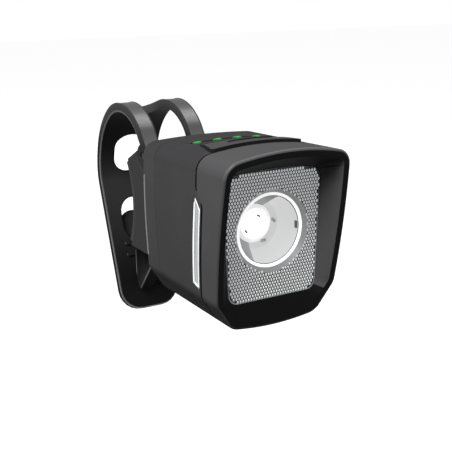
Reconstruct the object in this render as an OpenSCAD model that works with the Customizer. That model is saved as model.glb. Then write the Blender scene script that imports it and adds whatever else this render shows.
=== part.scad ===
// Bike headlight with a rubber handlebar strap.
// The lamp shines along -Y, +Z is up, and the origin is the axis of a handlebar lying in the saddle.
// Lamp pieces are drawn from the front top edge of the hood, rearwards and downwards, then set in place.

/* [Lamp body] */
// Width of the body between its top corners
body_w = 33; // [31:0.5:37]
// Height from the top corners to the lower corners
body_h = 40; // [39:0.5:44]
// Length from the hood's top edge to the rear face of the cap
body_len = 43; // [42:0.5:50]
// Rise of the arched top
top_bow = 2.1; // [1:0.1:3]
// Swell of the sides
side_bow = 0.6; // [0.2:0.1:1.2]
// Sag of the arched underside
foot_bow = 1.1; // [0.6:0.1:1.6]
// Width of the flat foot between the lower chamfers
foot_w = 23.8; // [22:0.2:27]
// Height of the lower chamfers
chamfer_h = 7; // [5:0.5:9]
// Radius of the body's long corners
corner_r = 3; // [2:0.25:4]
// Wall of the housing and of the cap
wall = 1.6; // [1.4:0.1:2]
// Length of the rear cap
cap_len = 7.5; // [5.5:0.5:9]
// Rounding of the cap's rear edge
cap_round = 2.2; // [1:0.2:3]

/* [Hood and lens] */
// Lean of the hood's rim, the top overhanging forwards, in degrees
rim_rake = 9.7; // [6:0.5:12]
// Width of the rim round the recess
rim_lip = 1.9; // [1.4:0.1:2.4]
// Depth from the hood's top edge to the lens
lens_y = 7.7; // [7:0.1:9]
// Thickness of the lens
lens_t = 3; // [2.4:0.1:3.4]
// From the body's side to the visible lens at the top
view_side_top = 3; // [2.9:0.1:4]
// From the body's side to the visible lens at the bottom
view_side_foot = 4.6; // [3.6:0.1:5]
// From the top corners down to the visible lens
view_drop = 4.6; // [3.4:0.1:5]
// From the lower corners up to the visible lens
view_rise = 5.7; // [4:0.1:6]
// Rise of the visible lens's arched top edge
view_bow = 1.3; // [0.6:0.1:1.8]
// Width of the lens edge hidden behind the recess
lens_edge = 0.9; // [0.6:0.1:1.2]
// Depth of the seam between hood and housing along the top
seam_y = 13.5; // [13.5:0.1:16]
// Step of the seam towards the front, lower down on the sides
seam_step = 2.9; // [2:0.1:3.4]
// Slant of the seam back again, down to the chamfer
seam_slant = 2.3; // [1:0.1:2.8]
// Height of the seam's step below the top corners
seam_step_z = 7; // [6:0.5:9]

/* [Optic] */
// Outer diameter of the white ring
ring_d = 18; // [16:0.5:19]
// Width of the white ring
ring_w = 0.85; // [0.6:0.05:1.2]
// Optic axis below the top corners
optic_drop = 18.2; // [17.5:0.1:19.5]
// Depth of the reflector cup
cup_depth = 6.8; // [6:0.1:7.4]
// Diameter of the reflector cup's floor
cup_floor_d = 9.6; // [8:0.2:11]
// Diameter of the hub lens over the LED
hub_d = 7.4; // [6:0.2:7.8]
// Side of the LED board
led_board_w = 23; // [20:0.5:24]

/* [Button and indicators] */
// Rise of the button above the top
button_rise = 0.5; // [0.3:0.1:0.8]
// Travel of the button
button_travel = 0.4; // [0.3:0.05:0.6]
// Width of the button at its front
button_w = 24; // [20:0.5:25]
// Width of the button at its rear
button_rear_w = 18.6; // [16:0.2:20]
// Length of the button
button_len = 10.4; // [9:0.2:12]
// Spacing of the indicator windows
pipe_pitch = 5.6; // [4.5:0.1:5.6]
// Width of one indicator window
pipe_w = 2.6; // [1.8:0.1:3]
// Number of indicator windows
pipe_count = 4; // [2:1:4]

/* [Mount] */
// Diameter of the handlebar that sets the origin
bar_d = 31.8; // [25.4:0.2:35]
// Radius of the saddle
saddle_r = 22; // [19:0.5:26]
// Handlebar axis below the top corners
bar_drop = 22; // [21:0.5:24]
// Length of the neck from the cap to the saddle's floor
neck_len = 23.5; // [22:0.5:28]
// Width of the bracket and of the strap
strap_w = 19.4; // [17:0.2:21]
// Width of the slot between the strap's arms
arm_gap = 9.7; // [8:0.1:10]
// Strap pin below the top corners
pin_drop = 7.3; // [6.8:0.1:8]
// Strap pin in front of the saddle's floor
pin_fore = 8.2; // [7.6:0.1:9]
// Diameter of the strap pin
pin_d = 2.4; // [2:0.1:2.8]
// Depth of the hook below the bracket
hook_len = 17; // [13:0.5:18]
// Width of the hook
hook_w = 8.2; // [6:0.2:8.6]

/* [Strap] */
// Thickness of the strap
strap_t = 2.6; // [2:0.1:3]
// Outer radius of the eyes round the pin
eye_r = 3.2; // [2.8:0.1:3.4]
// Straight rise of the arms from the eyes
arm_rise = 6; // [5:0.5:9]
// Outer radius of the crown
crown_r = 17.5; // [16:0.5:20]
// Outer radius of the shoulder behind the crown
shoulder_r = 24; // [22:0.5:28]
// Outer radius of the heel above the tail
heel_r = 14; // [12:0.5:18]
// Length of the straight tail
tail_len = 40.6; // [37:0.2:46]
// Width of the strap's holes
hole_w = 9.6; // [9:0.1:11]
// Height of the strap's holes
hole_h = 12.6; // [11:0.2:14]
// Distance between the holes
hole_pitch = 20.6; // [19:0.2:23]
// Corner radius of the tab
tab_r = 6.5; // [4:0.25:8]
// Height of the grip ribs
rib_h = 0.4; // [0.2:0.05:0.5]
// Number of grip ribs
rib_count = 2; // [1:1:3]

/* [Fits] */
// Gap of fixed pieces that slip into each other
fit = 0.1; // [0.05:0.05:0.2]
// Gap round moving pieces
run_gap = 0.3; // [0.25:0.05:0.4]
// Radial clearance of a turning pin or a plunger
pin_fit = 0.05; // [0.02:0.01:0.09]

/* [Hidden] */
$fn = 48;
eps = 0.01;
far = 60;

// Places of the lamp in the shared frame
saddle_y = -bar_d / 2;
cap_rear_y = saddle_y - neck_len;
front_y = cap_rear_y - body_len;
top_z = bar_drop;
half_w = body_w / 2;
hip_z = chamfer_h - body_h;
step_foot = -seam_step_z - 3.8;
window_top = step_foot + 0.2;
window_foot = hip_z + 2;
window_w = 2.9;
window_back = 1.4;
cap_y = body_len - cap_len;
floor_y = body_len - wall;

// Lens and optic stack, front to rear
lens_back = lens_y + lens_t;
gasket_t = 0.8;
gasket_w = 1.6;
gasket_back = lens_back + gasket_t;
flange_t = 1.2;
flange_back = gasket_back + flange_t;
ring_r = ring_d / 2;
ring_sunk = 0.9;
cup_r = ring_r - ring_w;
cup_back = lens_back + cup_depth;
cup_wall = 1;
board_t = 1.1;
led_back = cup_back + board_t;
sink_t = 2;
sink_back = led_back + sink_t;
sink_wing_t = 1.2;
sink_wing_len = 9;
chip_w = 3.2;
chip_t = 0.6;

// Inner width of the housing, and the heights of what it carries
inner_half = half_w - wall;
carry_half = inner_half - fit;
sink_top = -9;
sink_foot = hip_z + wall / 2;
board_top = -6.2;
rail_h = 1.2;
rail_w = 1.6;
board_front = seam_y + 1.3;
tray_top = sink_top - 1.4;
tray_half = carry_half - sink_wing_t - fit;
tray_wall = 1;
tray_front = sink_back;
tray_rear = tray_front + 12.2;
port_y = tray_front + 5;
charge_top = tray_foot();
charge_half = tray_half - 5.5;
charge_len = 10;
socket_h = 7;
socket_w = 9;
socket_t = 3.2;
port_roof = charge_top - board_t - socket_h + 1.6;

// Button and indicators
button_y = seam_y + 0.9;
button_rear = button_y + button_len;
button_floor = -1.4;
stem_d = 4;
stem_foot = button_floor - 2.2;
stem_y = button_y + button_len * 0.55;
seal_top = button_floor - button_travel - run_gap;
seal_t = 0.8;
well_w = 1.2;
switch_w = 4.6;
switch_top = board_top + 1.8;
plunger_d = 2.4;
groove_y = button_rear + 1.4;
groove_w = 2.2;
groove_deep = 0.7;
groove_half = pipe_pitch * pipe_count / 2 + 1.2;
pipe_l = 1.3;
pipe_sunk = 0.25;
pipe_y = groove_y + groove_w / 2;
led_l = 0.9;
led_h = 0.5;
board_rear = pipe_y + led_l;

// Screws that hold the cap
screw_d = 2;
screw_head_d = 3.6;
screw_head_t = 1.5;
boss_d = 4.6;
screw_x = half_w - 4.8;
screw_foot_x = foot_w / 2 - 2.2;
screw_z = [-4.8, -(body_h - 4.2)];
boss_front = board_rear + 0.5;
seal_ring_t = 1;
tongue_len = 1.8;
tongue_t = 1.3;
ledge_y = cap_y - tongue_len - seal_ring_t;
ledge_t = 1;

// Port cover under the body
port_w = 13;
cover_t = 0.8;
cover_len = 7.4;
cover_pin_d = 0.9;
knuckle_r = 0.75;
knuckle_w = 4;
cover_foot = -body_h - foot_bow + 0.45;
cover_axis_y = port_y - 3.9;
cover_axis_z = cover_foot + cover_t / 2;

// Bracket, in the frame of the handlebar
lift = top_z;
half_s = strap_w / 2;
pin_y = saddle_y - pin_fore;
pin_z = lift - pin_drop;
horn_top = lift - 9.4;
horn_foot = lift - 34.2;
block_foot = lift - 35.2;
block_top = pin_z - eye_r - 2.6;
horn_y = saddle_y + 3.9;
pad_t = 1.5;
lug_half = arm_gap / 2 - run_gap;
bracket_screw_z = [lift - 16, lift - 30];
screw_grip = 6;
hook_reach = 12.8;
hook_root = 6.5;
hook_tip = 2.6;
hook_sunk = 2;

// Strap path: each run is a length and a turn, starting on the outside of the eye
arm_heading = 55;
crown_heading = 45;
shoulder_heading = -33;
heel_heading = -87;
tail_heading = -109;
arc_len = PI / 180;
lead_r = 10;
strap_runs = [
    [arm_rise, 0],
    [lead_r * (arm_heading - crown_heading) * arc_len, crown_heading - arm_heading],
    [crown_r * (crown_heading - shoulder_heading) * arc_len, shoulder_heading - crown_heading],
    [shoulder_r * (shoulder_heading - heel_heading) * arc_len, heel_heading - shoulder_heading],
    [heel_r * (heel_heading - tail_heading) * arc_len, tail_heading - heel_heading],
    [tail_len, 0]];
strap_start = [pin_y, pin_z] + eye_r * [-sin(arm_heading), cos(arm_heading)];
strap_path = concat([[strap_start[0], strap_start[1], arm_heading]],
    runs_from(strap_start, arm_heading, strap_runs));
path_end = strap_path[len(strap_path) - 1];
tail_start = path_end - tail_len * [cos(tail_heading), sin(tail_heading), 0];
crown_top = max([for (p = strap_path) p[1]]);
gap_end_y = strap_start[0] + arm_rise * cos(arm_heading) + crown_r + shoulder_r * 0.2;
hole_z = [tail_start[1] + 9.6, tail_start[1] + 9.6 - hole_pitch];
lug_len = 13;
lug_t = 2.2;
lug_w = 10.4;
lug_heading = 54;
lug_root = tail_start + 21 * [cos(tail_heading), sin(tail_heading), 0];
rib_w = 0.9;
rib_pitch = 3.5;
rib_half = 5.4;
rib_first = tail_len - 17.3;

// Height of the underside of the battery tray
function tray_foot() = hip_z + 2;

function unit(v) = v / norm(v);

// Round arc that replaces the corner b between a and c
function corner(a, b, c, r, n = 6) =
    let (u = unit(a - b), v = unit(c - b), half = acos(u * v) / 2)
    let (mid = unit(u + v), centre = b + mid * r / sin(half), p = b + u * r / tan(half) - centre)
    let (q = b + v * r / tan(half) - centre, first = atan2(p[1], p[0]))
    let (turn = atan2(p[0] * q[1] - p[1] * q[0], p * q))
    [for (i = [0:n]) centre + r * [cos(first + turn * i / n), sin(first + turn * i / n)]];

// Outline through points [x, y, radius], with its corners rounded
function rounded(pts) = [
    for (i = [0:len(pts) - 1])
        let (a = pts[(i + len(pts) - 1) % len(pts)], b = pts[i], c = pts[(i + 1) % len(pts)])
        each b[2] > 0
            ? corner([a[0], a[1]], [b[0], b[1]], [c[0], c[1]], b[2])
            : [[b[0], b[1]]]];

// Points between a and b on a shallow arc that swells by sag to the left of the way from a to b
function bowed(a, b, sag, n = 8) =
    let (d = b - a, left = unit([-d[1], d[0]]))
    [for (i = [1:n - 1])
        let (t = i / n, p = a + d * t + left * sag * 4 * t * (1 - t))
        [p[0], p[1], 0]];

function with_r(p, r) = [p[0], p[1], r];

// Section of the body, moved inwards by d
function body_pts(d) =
    let (lean = atan2(half_w - foot_w / 2, chamfer_h), r = max(corner_r - d, 0.4))
    let (top = [half_w - d, -d], hip = [half_w - d, chamfer_h - body_h + d * tan(lean / 2)])
    let (foot = [foot_w / 2 - d * tan(45 - lean / 2), d - body_h])
    let (side = bowed(top, hip, side_bow, 6), sole = bowed(foot, [-foot[0], foot[1]], foot_bow))
    let (roof = bowed([-top[0], top[1]], top, top_bow))
    let (mirrored = [for (i = [len(side) - 1:-1:0]) [-side[i][0], side[i][1], 0]])
    rounded(concat(roof, [with_r(top, r)], side, [with_r(hip, r)], [with_r(foot, r)],
        [for (p = sole) [p[0], p[1], 0]], [[-foot[0], foot[1], r]], [[-hip[0], hip[1], r]], mirrored,
        [[-top[0], top[1], r]]));

// Visible outline of the lens, made larger by d
function view_pts(d) =
    let (top = [half_w - view_side_top + d, d - view_drop])
    let (foot = [half_w - view_side_foot + d, view_rise - body_h - d])
    let (roof = bowed([-top[0], top[1]], top, view_bow))
    rounded(concat(roof, [with_r(top, 2.4 + d)], [with_r(foot, 2.4 + d)], [[-foot[0], foot[1], 2.4 + d]],
        [[-top[0], top[1], 2.4 + d]]));

// Points [y, z, heading] along runs of a length and a turn
function run_at(p, h, run, t) =
    run[1] == 0
        ? p + run[0] * t * [cos(h), sin(h)]
        : p + run[0] / (run[1] * arc_len) * [sin(h + run[1] * t) - sin(h), cos(h) - cos(h + run[1] * t)];
function run_points(p, h, run) =
    let (n = max(1, ceil(abs(run[1]) / 6)))
    [for (i = [1:n]) let (q = run_at(p, h, run, i / n)) [q[0], q[1], h + run[1] * i / n]];
function runs_from(p, h, runs, i = 0) =
    i == len(runs)
        ? []
        : let (pts = run_points(p, h, runs[i]), last = pts[len(pts) - 1])
            concat(pts, runs_from([last[0], last[1]], last[2], runs, i + 1));

// Outside and inside of the strap as one closed outline
function strap_profile() =
    let (n = len(strap_path))
    concat([for (p = strap_path) [p[0], p[1]]],
        [for (i = [n - 1:-1:0]) let (p = strap_path[i]) [p[0], p[1]] + strap_t * [sin(p[2]), -cos(p[2])]]);

// Depth of the raked rim at a height
function rim_y(z) = -z * tan(rim_rake);

// Depth of the seam at a height
function seam_at(z) =
    z > -seam_step_z
        ? seam_y
        : seam_y - seam_step + seam_slant * (step_foot - z) / (step_foot - hip_z);

// Edge of the seam in side view, from above the top to below the foot
function seam_edge() =
    [[seam_y, top_bow + 2], [seam_y, -seam_step_z], [seam_at(step_foot), step_foot],
        [seam_at(hip_z), hip_z], [seam_at(hip_z), -body_h - foot_bow - 2]];

// Side window in side view, just behind the seam
function window_pts(d) =
    let (z1 = window_top, z2 = window_foot, back = window_back, w = window_w)
    [[seam_at(step_foot) + back - d, z1 - 1 + d],
        [seam_at(z1) + back + w * 0.8, z1 + 1.6 + 1.6 * d],
        [seam_at(z1) + back + w + d, z1 + d],
        [seam_at(z2) + back + w + d, z2 + 1 - d],
        [seam_at(z2) + back - d, z2 - d]];

// Sets a lamp piece in the shared frame
module lamp() {
    translate([0, front_y, top_z])
        children();
}

// Body section, moved inwards by d, from depth y0 to depth y1
module prism(d, y0, y1) {
    translate([0, y1, 0])
        rotate([90, 0, 0])
            linear_extrude(y1 - y0)
                polygon(body_pts(d));
}

// Lens outline, made larger by d, from depth y0 to depth y1
module lens_prism(d, y0, y1) {
    translate([0, y1, 0])
        rotate([90, 0, 0])
            linear_extrude(y1 - y0)
                polygon(view_pts(d));
}

// Side-view outline drawn from x0 to x1
module across(x0, x1, pts) {
    translate([x0, 0, 0])
        rotate([90, 0, 90])
            linear_extrude(x1 - x0)
                polygon(pts);
}

// Box between two corners
module span(low, high) {
    translate(low)
        cube(high - low);
}

// Round bar along Y from y0 to y1 at [x, z]
module bar_y(x, z, d, y0, y1) {
    translate([x, y1, z])
        rotate([90, 0, 0])
            cylinder(d = d, h = y1 - y0);
}

// Round bar along X at [y, z]
module bar_x(y, z, r, x0, x1) {
    translate([x0, y, z])
        rotate([0, 90, 0])
            cylinder(r = r, h = x1 - x0);
}

// Plan of the button, made larger by d
module button_plan(d, z0, z1) {
    front = button_w / 2 + d;
    rear = button_rear_w / 2 + d;
    translate([0, 0, z0])
        linear_extrude(z1 - z0)
            polygon(rounded([[-front, button_y - d, 0.8], [front, button_y - d, 0.8],
                [rear, button_rear + d, 1.2], [-rear, button_rear + d, 1.2]]));
}

// Places of the light pipes
module each_pipe() {
    for (i = [0:pipe_count - 1])
        translate([(i - (pipe_count - 1) / 2) * pipe_pitch, pipe_y, 0])
            children();
}

// Places of the cap screws
module each_screw() {
    for (side = [-1, 1]) {
        translate([side * screw_x, 0, screw_z[0]])
            children();
        translate([side * screw_foot_x, 0, screw_z[1]])
            children();
    }
}

// Recess in front of the lens, narrowing from the rim to the visible lens
module recess() {
    hull() {
        intersection() {
            prism(rim_lip, -3, lens_y);
            across(-far, far, [[rim_y(6) - 0.1, 6], [rim_y(6) + eps, 6],
                [rim_y(-far) + eps, -far], [rim_y(-far) - 0.1, -far]]);
        }
        lens_prism(0, lens_y, lens_y + eps);
    }
}

// Hood round the lens, with its raked rim and its two locating tongues
module front_bezel() {
    lens_seat = lens_edge + fit;
    tongue_y = seam_y + 2.4;
    tongue_wall = 1.1;
    color("#232425")
        lamp() {
            difference() {
                intersection() {
                    prism(0, -3, seam_y + 2);
                    across(-far, far, concat([[rim_y(-far), -far], [rim_y(6), 6]], seam_edge()));
                }
                recess();
                lens_prism(lens_seat, lens_y, seam_y + 3);
            }
            intersection() {
                difference() {
                    prism(wall + fit, flange_back, tongue_y);
                    prism(wall + fit + tongue_wall, flange_back - 1, tongue_y + 1);
                }
                union() {
                    span([-far, 0, board_top + 0.4], [far, far, seal_top - seal_t]);
                    span([-foot_w / 2 + 1, 0, -body_h - far], [foot_w / 2 - 1, far, wall + 2 - body_h]);
                }
            }
        }
}

// Slots for the side windows
module window_slots(d) {
    for (side = [0, 1])
        mirror([side, 0, 0])
            across(-far, -inner_half + 1.5, window_pts(d));
}

// Button well, rails, bosses and the port's block inside the housing
module housing_inside() {
    intersection() {
        button_plan(run_gap + well_w, seal_top, far);
        prism(wall / 2, 0, cap_y);
    }
    intersection() {
        prism(wall / 2, board_front, boss_front);
        union() {
            for (side = [-1, 1])
                translate([side * (inner_half + half_w) / 2, 0, board_top - board_t - rail_h])
                    span([-wall / 2 - rail_w, board_front, 0], [wall / 2 + rail_w, boss_front, rail_h]);
        }
    }
    difference() {
        prism(wall / 2, ledge_y - ledge_t, ledge_y);
        prism(wall + tongue_t, ledge_y - ledge_t - 1, ledge_y + 1);
    }
    intersection() {
        prism(wall / 2, boss_front, ledge_y);
        each_screw()
            bar_y(0, 0, boss_d, boss_front, ledge_y);
    }
    intersection() {
        prism(wall / 2, 0, cap_y);
        span([-port_w / 2 - 1, cover_axis_y - 2.2, -far], [port_w / 2 + 1, port_y + 5.4, port_roof]);
    }
}

// Middle shell, open at both ends
module rear_housing() {
    color("#333435")
        lamp()
            difference() {
                union() {
                    difference() {
                        prism(0, 0, cap_y);
                        prism(wall, -1, cap_y + 1);
                    }
                    housing_inside();
                }
                across(-far, far, concat([[-far, -far], [-far, 6]], seam_edge()));
                window_slots(fit);
                button_plan(run_gap, button_floor - 3, far);
                difference() {
                    span([-groove_half, groove_y, -wall], [groove_half, groove_y + groove_w, far]);
                    prism(groove_deep, 0, cap_y);
                }
                each_pipe()
                    span([-pipe_w / 2 - fit, -pipe_l / 2 - fit, board_top],
                        [pipe_w / 2 + fit, pipe_l / 2 + fit, far]);
                each_screw()
                    bar_y(0, 0, screw_d, boss_front + 0.8, cap_y);
                span([-socket_w / 2 - fit, port_y - socket_t / 2 - fit, -far],
                    [socket_w / 2 + fit, port_y + socket_t / 2 + fit, port_roof + 1]);
                span([-port_w / 2 - run_gap, cover_axis_y, -far],
                    [port_w / 2 + run_gap, cover_axis_y + cover_len + run_gap,
                        cover_foot + cover_t + run_gap]);
                bar_x(cover_axis_y, cover_axis_z, knuckle_r + run_gap,
                    -port_w / 2 - run_gap, port_w / 2 + run_gap);
                span([-port_w / 2 - run_gap, cover_axis_y - knuckle_r - run_gap, -far],
                    [port_w / 2 + run_gap, cover_axis_y, cover_axis_z]);
                bar_x(cover_axis_y, cover_axis_z, cover_pin_d / 2, -port_w / 2 - 0.8, port_w / 2 + 0.8);
            }
}

// Rear cap with its rounded edge, locating tongue and screw bosses
module rear_cap() {
    steps = 4;
    color("#3b3c3d")
        lamp()
            difference() {
                union() {
                    difference() {
                        hull() {
                            prism(0, cap_y, body_len - cap_round);
                            for (i = [1:steps])
                                prism(cap_round * (1 - cos(90 * i / steps)), body_len - cap_round,
                                    body_len - cap_round + cap_round * sin(90 * i / steps));
                        }
                        prism(wall, cap_y - 1, floor_y);
                    }
                    difference() {
                        prism(wall + fit, cap_y - tongue_len, floor_y);
                        prism(wall + fit + tongue_t, cap_y - tongue_len - 1, floor_y + 1);
                    }
                    intersection() {
                        prism(wall + tongue_t + 2 * fit, ledge_y, floor_y + wall / 2);
                        each_screw()
                            bar_y(0, 0, boss_d, ledge_y, floor_y + wall / 2);
                    }
                    for (z = bracket_screw_z)
                        bar_y(0, z - top_z, boss_d, floor_y - 1, floor_y);
                }
                each_screw() {
                    bar_y(0, 0, screw_d + 2 * fit, ledge_y - 1, body_len + 1);
                    bar_y(0, 0, screw_head_d + 2 * fit, body_len - screw_head_t, body_len + 1);
                }
                for (z = bracket_screw_z)
                    bar_y(0, z - top_z, screw_d + 2 * fit, floor_y - 2, body_len + 1);
            }
}

// Clear front plate with a round window for the optic
module front_lens() {
    color("#c9cccf", 0.6)
        lamp()
            difference() {
                lens_prism(lens_edge, lens_y, lens_back);
                bar_y(0, -optic_drop, ring_d + 2 * fit, lens_y - 1, lens_back + 1);
            }
}

// Rubber frame that the lens is pressed against
module lens_gasket() {
    color("#1a1a1a")
        lamp()
            difference() {
                lens_prism(lens_edge, lens_back, gasket_back);
                lens_prism(lens_edge - gasket_w, lens_back - 1, gasket_back + 1);
            }
}

// White ring in the lens's window
module optic_ring() {
    color("#f4f4f2")
        lamp()
            difference() {
                bar_y(0, -optic_drop, ring_d, lens_y + ring_sunk, lens_back);
                bar_y(0, -optic_drop, 2 * cup_r, lens_y, lens_back + 1);
            }
}

// Reflector cup on a flange that fills the hood behind the gasket
module reflector() {
    floor_r = cup_floor_d / 2;
    color("#d2d4d5")
        lamp() {
            translate([0, 0, -optic_drop])
                rotate([-90, 0, 0])
                    rotate_extrude()
                        polygon([[cup_r, lens_back], [cup_r + cup_wall, lens_back],
                            [floor_r + cup_wall, cup_back], [chip_w, cup_back],
                            [chip_w, cup_back - cup_wall], [floor_r, cup_back - cup_wall]]);
            difference() {
                lens_prism(lens_edge, gasket_back, flange_back);
                bar_y(0, -optic_drop, 2 * cup_r + cup_wall, gasket_back - 1, flange_back + 1);
            }
        }
}

// Clear hub lens over the LED
module led_hub() {
    hub_front = cup_back - cup_wall - 3.4;
    color("#ffffff")
        lamp()
            translate([0, 0, -optic_drop])
                rotate([-90, 0, 0])
                    rotate_extrude()
                        polygon([[0, hub_front], [hub_d * 0.26, hub_front + 0.35],
                            [hub_d * 0.42, hub_front + 1.2], [hub_d / 2, hub_front + 2.4],
                            [hub_d / 2, cup_back - cup_wall], [0, cup_back - cup_wall]]);
}

// LED chip on its board
module led_chip() {
    color("#f2e39a")
        lamp()
            translate([-chip_w / 2, cup_back - chip_t, -optic_drop - chip_w / 2])
                cube([chip_w, chip_t, chip_w]);
}

// Metal-core board behind the cup
module led_board() {
    half = led_board_w / 2;
    color("#e8e8e8")
        lamp()
            span([-half, cup_back, -optic_drop - half + 2], [half, led_back, -optic_drop + half - 2]);
}

// Aluminium plate with two wings along the housing's sides
module heat_sink() {
    color("#a9adb0")
        lamp() {
            span([-carry_half, led_back, sink_foot], [carry_half, sink_back, sink_top]);
            for (side = [0, 1])
                mirror([side, 0, 0])
                    span([carry_half - sink_wing_t, sink_back, sink_foot],
                        [carry_half, sink_back + sink_wing_len, sink_top]);
        }
}

// Clear strip in the housing's side, with a flange inside
module side_window(side) {
    color("#dfe3e6", 0.7)
        lamp()
            mirror([side, 0, 0])
                intersection() {
                    prism(0.1, 0, cap_y);
                    across(-far, -inner_half + 0.4, window_pts(0));
                }
}

module side_window_left() {
    side_window(0);
}

module side_window_right() {
    side_window(1);
}

// Rubber ring squeezed between the cap's tongue and the housing's ledge
module cap_seal() {
    color("#4a1f1f")
        lamp()
            difference() {
                prism(wall + fit, ledge_y, ledge_y + seal_ring_t);
                prism(wall + fit + tongue_t, ledge_y - 1, ledge_y + seal_ring_t + 1);
            }
}

// Screws through the cap into the housing's bosses
module housing_screws() {
    color("#8d9093")
        lamp()
            each_screw()
                difference() {
                    union() {
                        bar_y(0, 0, screw_d, boss_front + 1, body_len - screw_head_t);
                        bar_y(0, 0, screw_head_d, body_len - screw_head_t, body_len - 0.2);
                    }
                    translate([0, body_len + 1, 0])
                        rotate([90, 0, 0])
                            cylinder(d = 1.6, h = 2.1, $fn = 6);
                }
}

// Board on the rails under the button
module main_board() {
    color("#1f5a36")
        lamp()
            span([-carry_half, board_front, board_top - board_t], [carry_half, board_rear, board_top]);
}

// Body of the switch under the button
module tact_switch() {
    color("#2b2b2b")
        lamp()
            difference() {
                translate([-switch_w / 2, stem_y - switch_w / 2, board_top])
                    cube([switch_w, switch_w, switch_top - board_top]);
                translate([0, stem_y, board_top + 0.2])
                    cylinder(d = plunger_d + 2 * pin_fit, h = far);
            }
}

// Plunger of the switch, pushed by the button's stem
module switch_plunger() {
    color("#c7b070")
        lamp()
            translate([0, stem_y, board_top + 0.2 + button_travel + pin_fit])
                cylinder(d = plunger_d, h = stem_foot - board_top - 0.2 - button_travel - pin_fit);
}

// LEDs under the light pipes
module indicator_leds() {
    color("#d8e6c8")
        lamp()
            each_pipe()
                span([-0.8, -led_l / 2, board_top], [0.8, led_l / 2, board_top + led_h]);
}

// Light pipes, one to each indicator window
module indicator_lenses() {
    color("#35c45a")
        lamp()
            intersection() {
                prism(pipe_sunk, groove_y, groove_y + groove_w);
                each_pipe()
                    span([-pipe_w / 2, -pipe_l / 2, board_top + led_h + fit],
                        [pipe_w / 2, pipe_l / 2, far]);
            }
}

// Raised plate on the top, with the stem that pushes the switch
module power_button() {
    color("#3a3b3c")
        lamp() {
            difference() {
                intersection() {
                    translate([0, 0, button_rise])
                        prism(0, 0, cap_y);
                    button_plan(0, button_floor, far);
                }
                span([-5.8, button_y + 2.4, top_bow + button_rise - 0.4], [5.8, button_y + 2.9, far]);
            }
            translate([0, stem_y, stem_foot])
                cylinder(d = stem_d, h = button_floor - stem_foot + eps);
        }
}

// Rubber mat under the button's well
module button_seal() {
    color("#1b1b1b")
        lamp()
            difference() {
                button_plan(run_gap + well_w, seal_top - seal_t, seal_top);
                span([-far, -far, -far], [far, seam_y + fit, far]);
                translate([0, stem_y, -far])
                    cylinder(d = stem_d + 2 * run_gap, h = far);
            }
}

// Pouch cell in its tray
module battery_cell() {
    color("#b9bdc2")
        lamp()
            span([-tray_half + tray_wall + fit, tray_front + tray_wall, tray_foot() + tray_wall + fit],
                [tray_half - tray_wall - fit, tray_rear - 0.6, tray_top - tray_wall - fit]);
}

// Tray open to the rear, held between the heat sink's wings
module battery_tray() {
    color("#50555a")
        lamp()
            difference() {
                span([-tray_half, tray_front, tray_foot()], [tray_half, tray_rear, tray_top]);
                span([-tray_half + tray_wall, tray_front + tray_wall, tray_foot() + tray_wall],
                    [tray_half - tray_wall, tray_rear + 1, tray_top - tray_wall]);
            }
}

// Two leads from the cell up to the board
module battery_leads() {
    lead_d = 1.2;
    lead_y = tray_rear + lead_d / 2 + fit;
    color("#a02c2c")
        lamp()
            for (x = [-1.5, 1.5])
                translate([x, 0, 0]) {
                    bar_y(0, tray_top - 4, lead_d, tray_rear - 0.6, lead_y);
                    translate([0, lead_y, tray_top - 4])
                        cylinder(d = lead_d, h = board_top - board_t - tray_top + 4 - lead_d / 2);
                    translate([0, lead_y, tray_top - 4])
                        sphere(d = lead_d);
                    translate([0, lead_y, board_top - board_t - lead_d / 2])
                        sphere(d = lead_d);
                    bar_y(0, board_top - board_t - lead_d / 2, lead_d, board_rear - 2, lead_y);
                }
}

// Board for the charging socket, under the tray
module charge_board() {
    color("#1f5a36")
        lamp()
            span([-charge_half, tray_front, charge_top - board_t],
                [charge_half, tray_front + charge_len, charge_top]);
}

// Charging socket that opens downwards
module charge_socket() {
    mouth_w = socket_w - 1.4;
    mouth_t = socket_t - 1.2;
    socket_top = charge_top - board_t;
    color("#b4b7ba")
        lamp()
            difference() {
                span([-socket_w / 2, port_y - socket_t / 2, socket_top - socket_h],
                    [socket_w / 2, port_y + socket_t / 2, socket_top]);
                span([-mouth_w / 2, port_y - mouth_t / 2, socket_top - socket_h - 1],
                    [mouth_w / 2, port_y + mouth_t / 2, socket_top - 1.5]);
            }
}

// Flat ribbon from the charging board, round the tray's rear edge and up to the main board
module charge_ribbon() {
    ribbon_w = 5;
    ribbon_t = 0.3;
    ribbon_y = tray_rear + 0.2;
    overlap = 1;
    x0 = charge_half - overlap;
    color("#c98f3a")
        lamp() {
            span([x0, ribbon_y, charge_top - board_t - ribbon_t],
                [x0 + ribbon_w, ribbon_y + ribbon_t, board_top - board_t]);
            span([x0, tray_front + 6, charge_top - board_t - ribbon_t],
                [charge_half, ribbon_y + ribbon_t, charge_top - board_t]);
            span([x0, board_rear - 1.5, board_top - board_t - ribbon_t],
                [x0 + ribbon_w, ribbon_y + ribbon_t, board_top - board_t]);
        }
}

// Flap over the charging port, turning on its pin
module port_cover() {
    color("#262728")
        lamp()
            difference() {
                union() {
                    span([-port_w / 2, cover_axis_y, cover_foot],
                        [port_w / 2, cover_axis_y + cover_len, cover_foot + cover_t]);
                    for (side = [-1, 1])
                        translate([side * (port_w / 2 - knuckle_w / 2), 0, 0])
                            bar_x(cover_axis_y, cover_axis_z, knuckle_r, -knuckle_w / 2, knuckle_w / 2);
                }
                bar_x(cover_axis_y, cover_axis_z, cover_pin_d / 2 + pin_fit, -far, far);
            }
}

// Steel pin of the port cover
module cover_pin() {
    color("#9b9ea1")
        lamp()
            bar_x(cover_axis_y, cover_axis_z, cover_pin_d / 2, -port_w / 2 - 0.8, port_w / 2 + 0.8);
}

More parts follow.
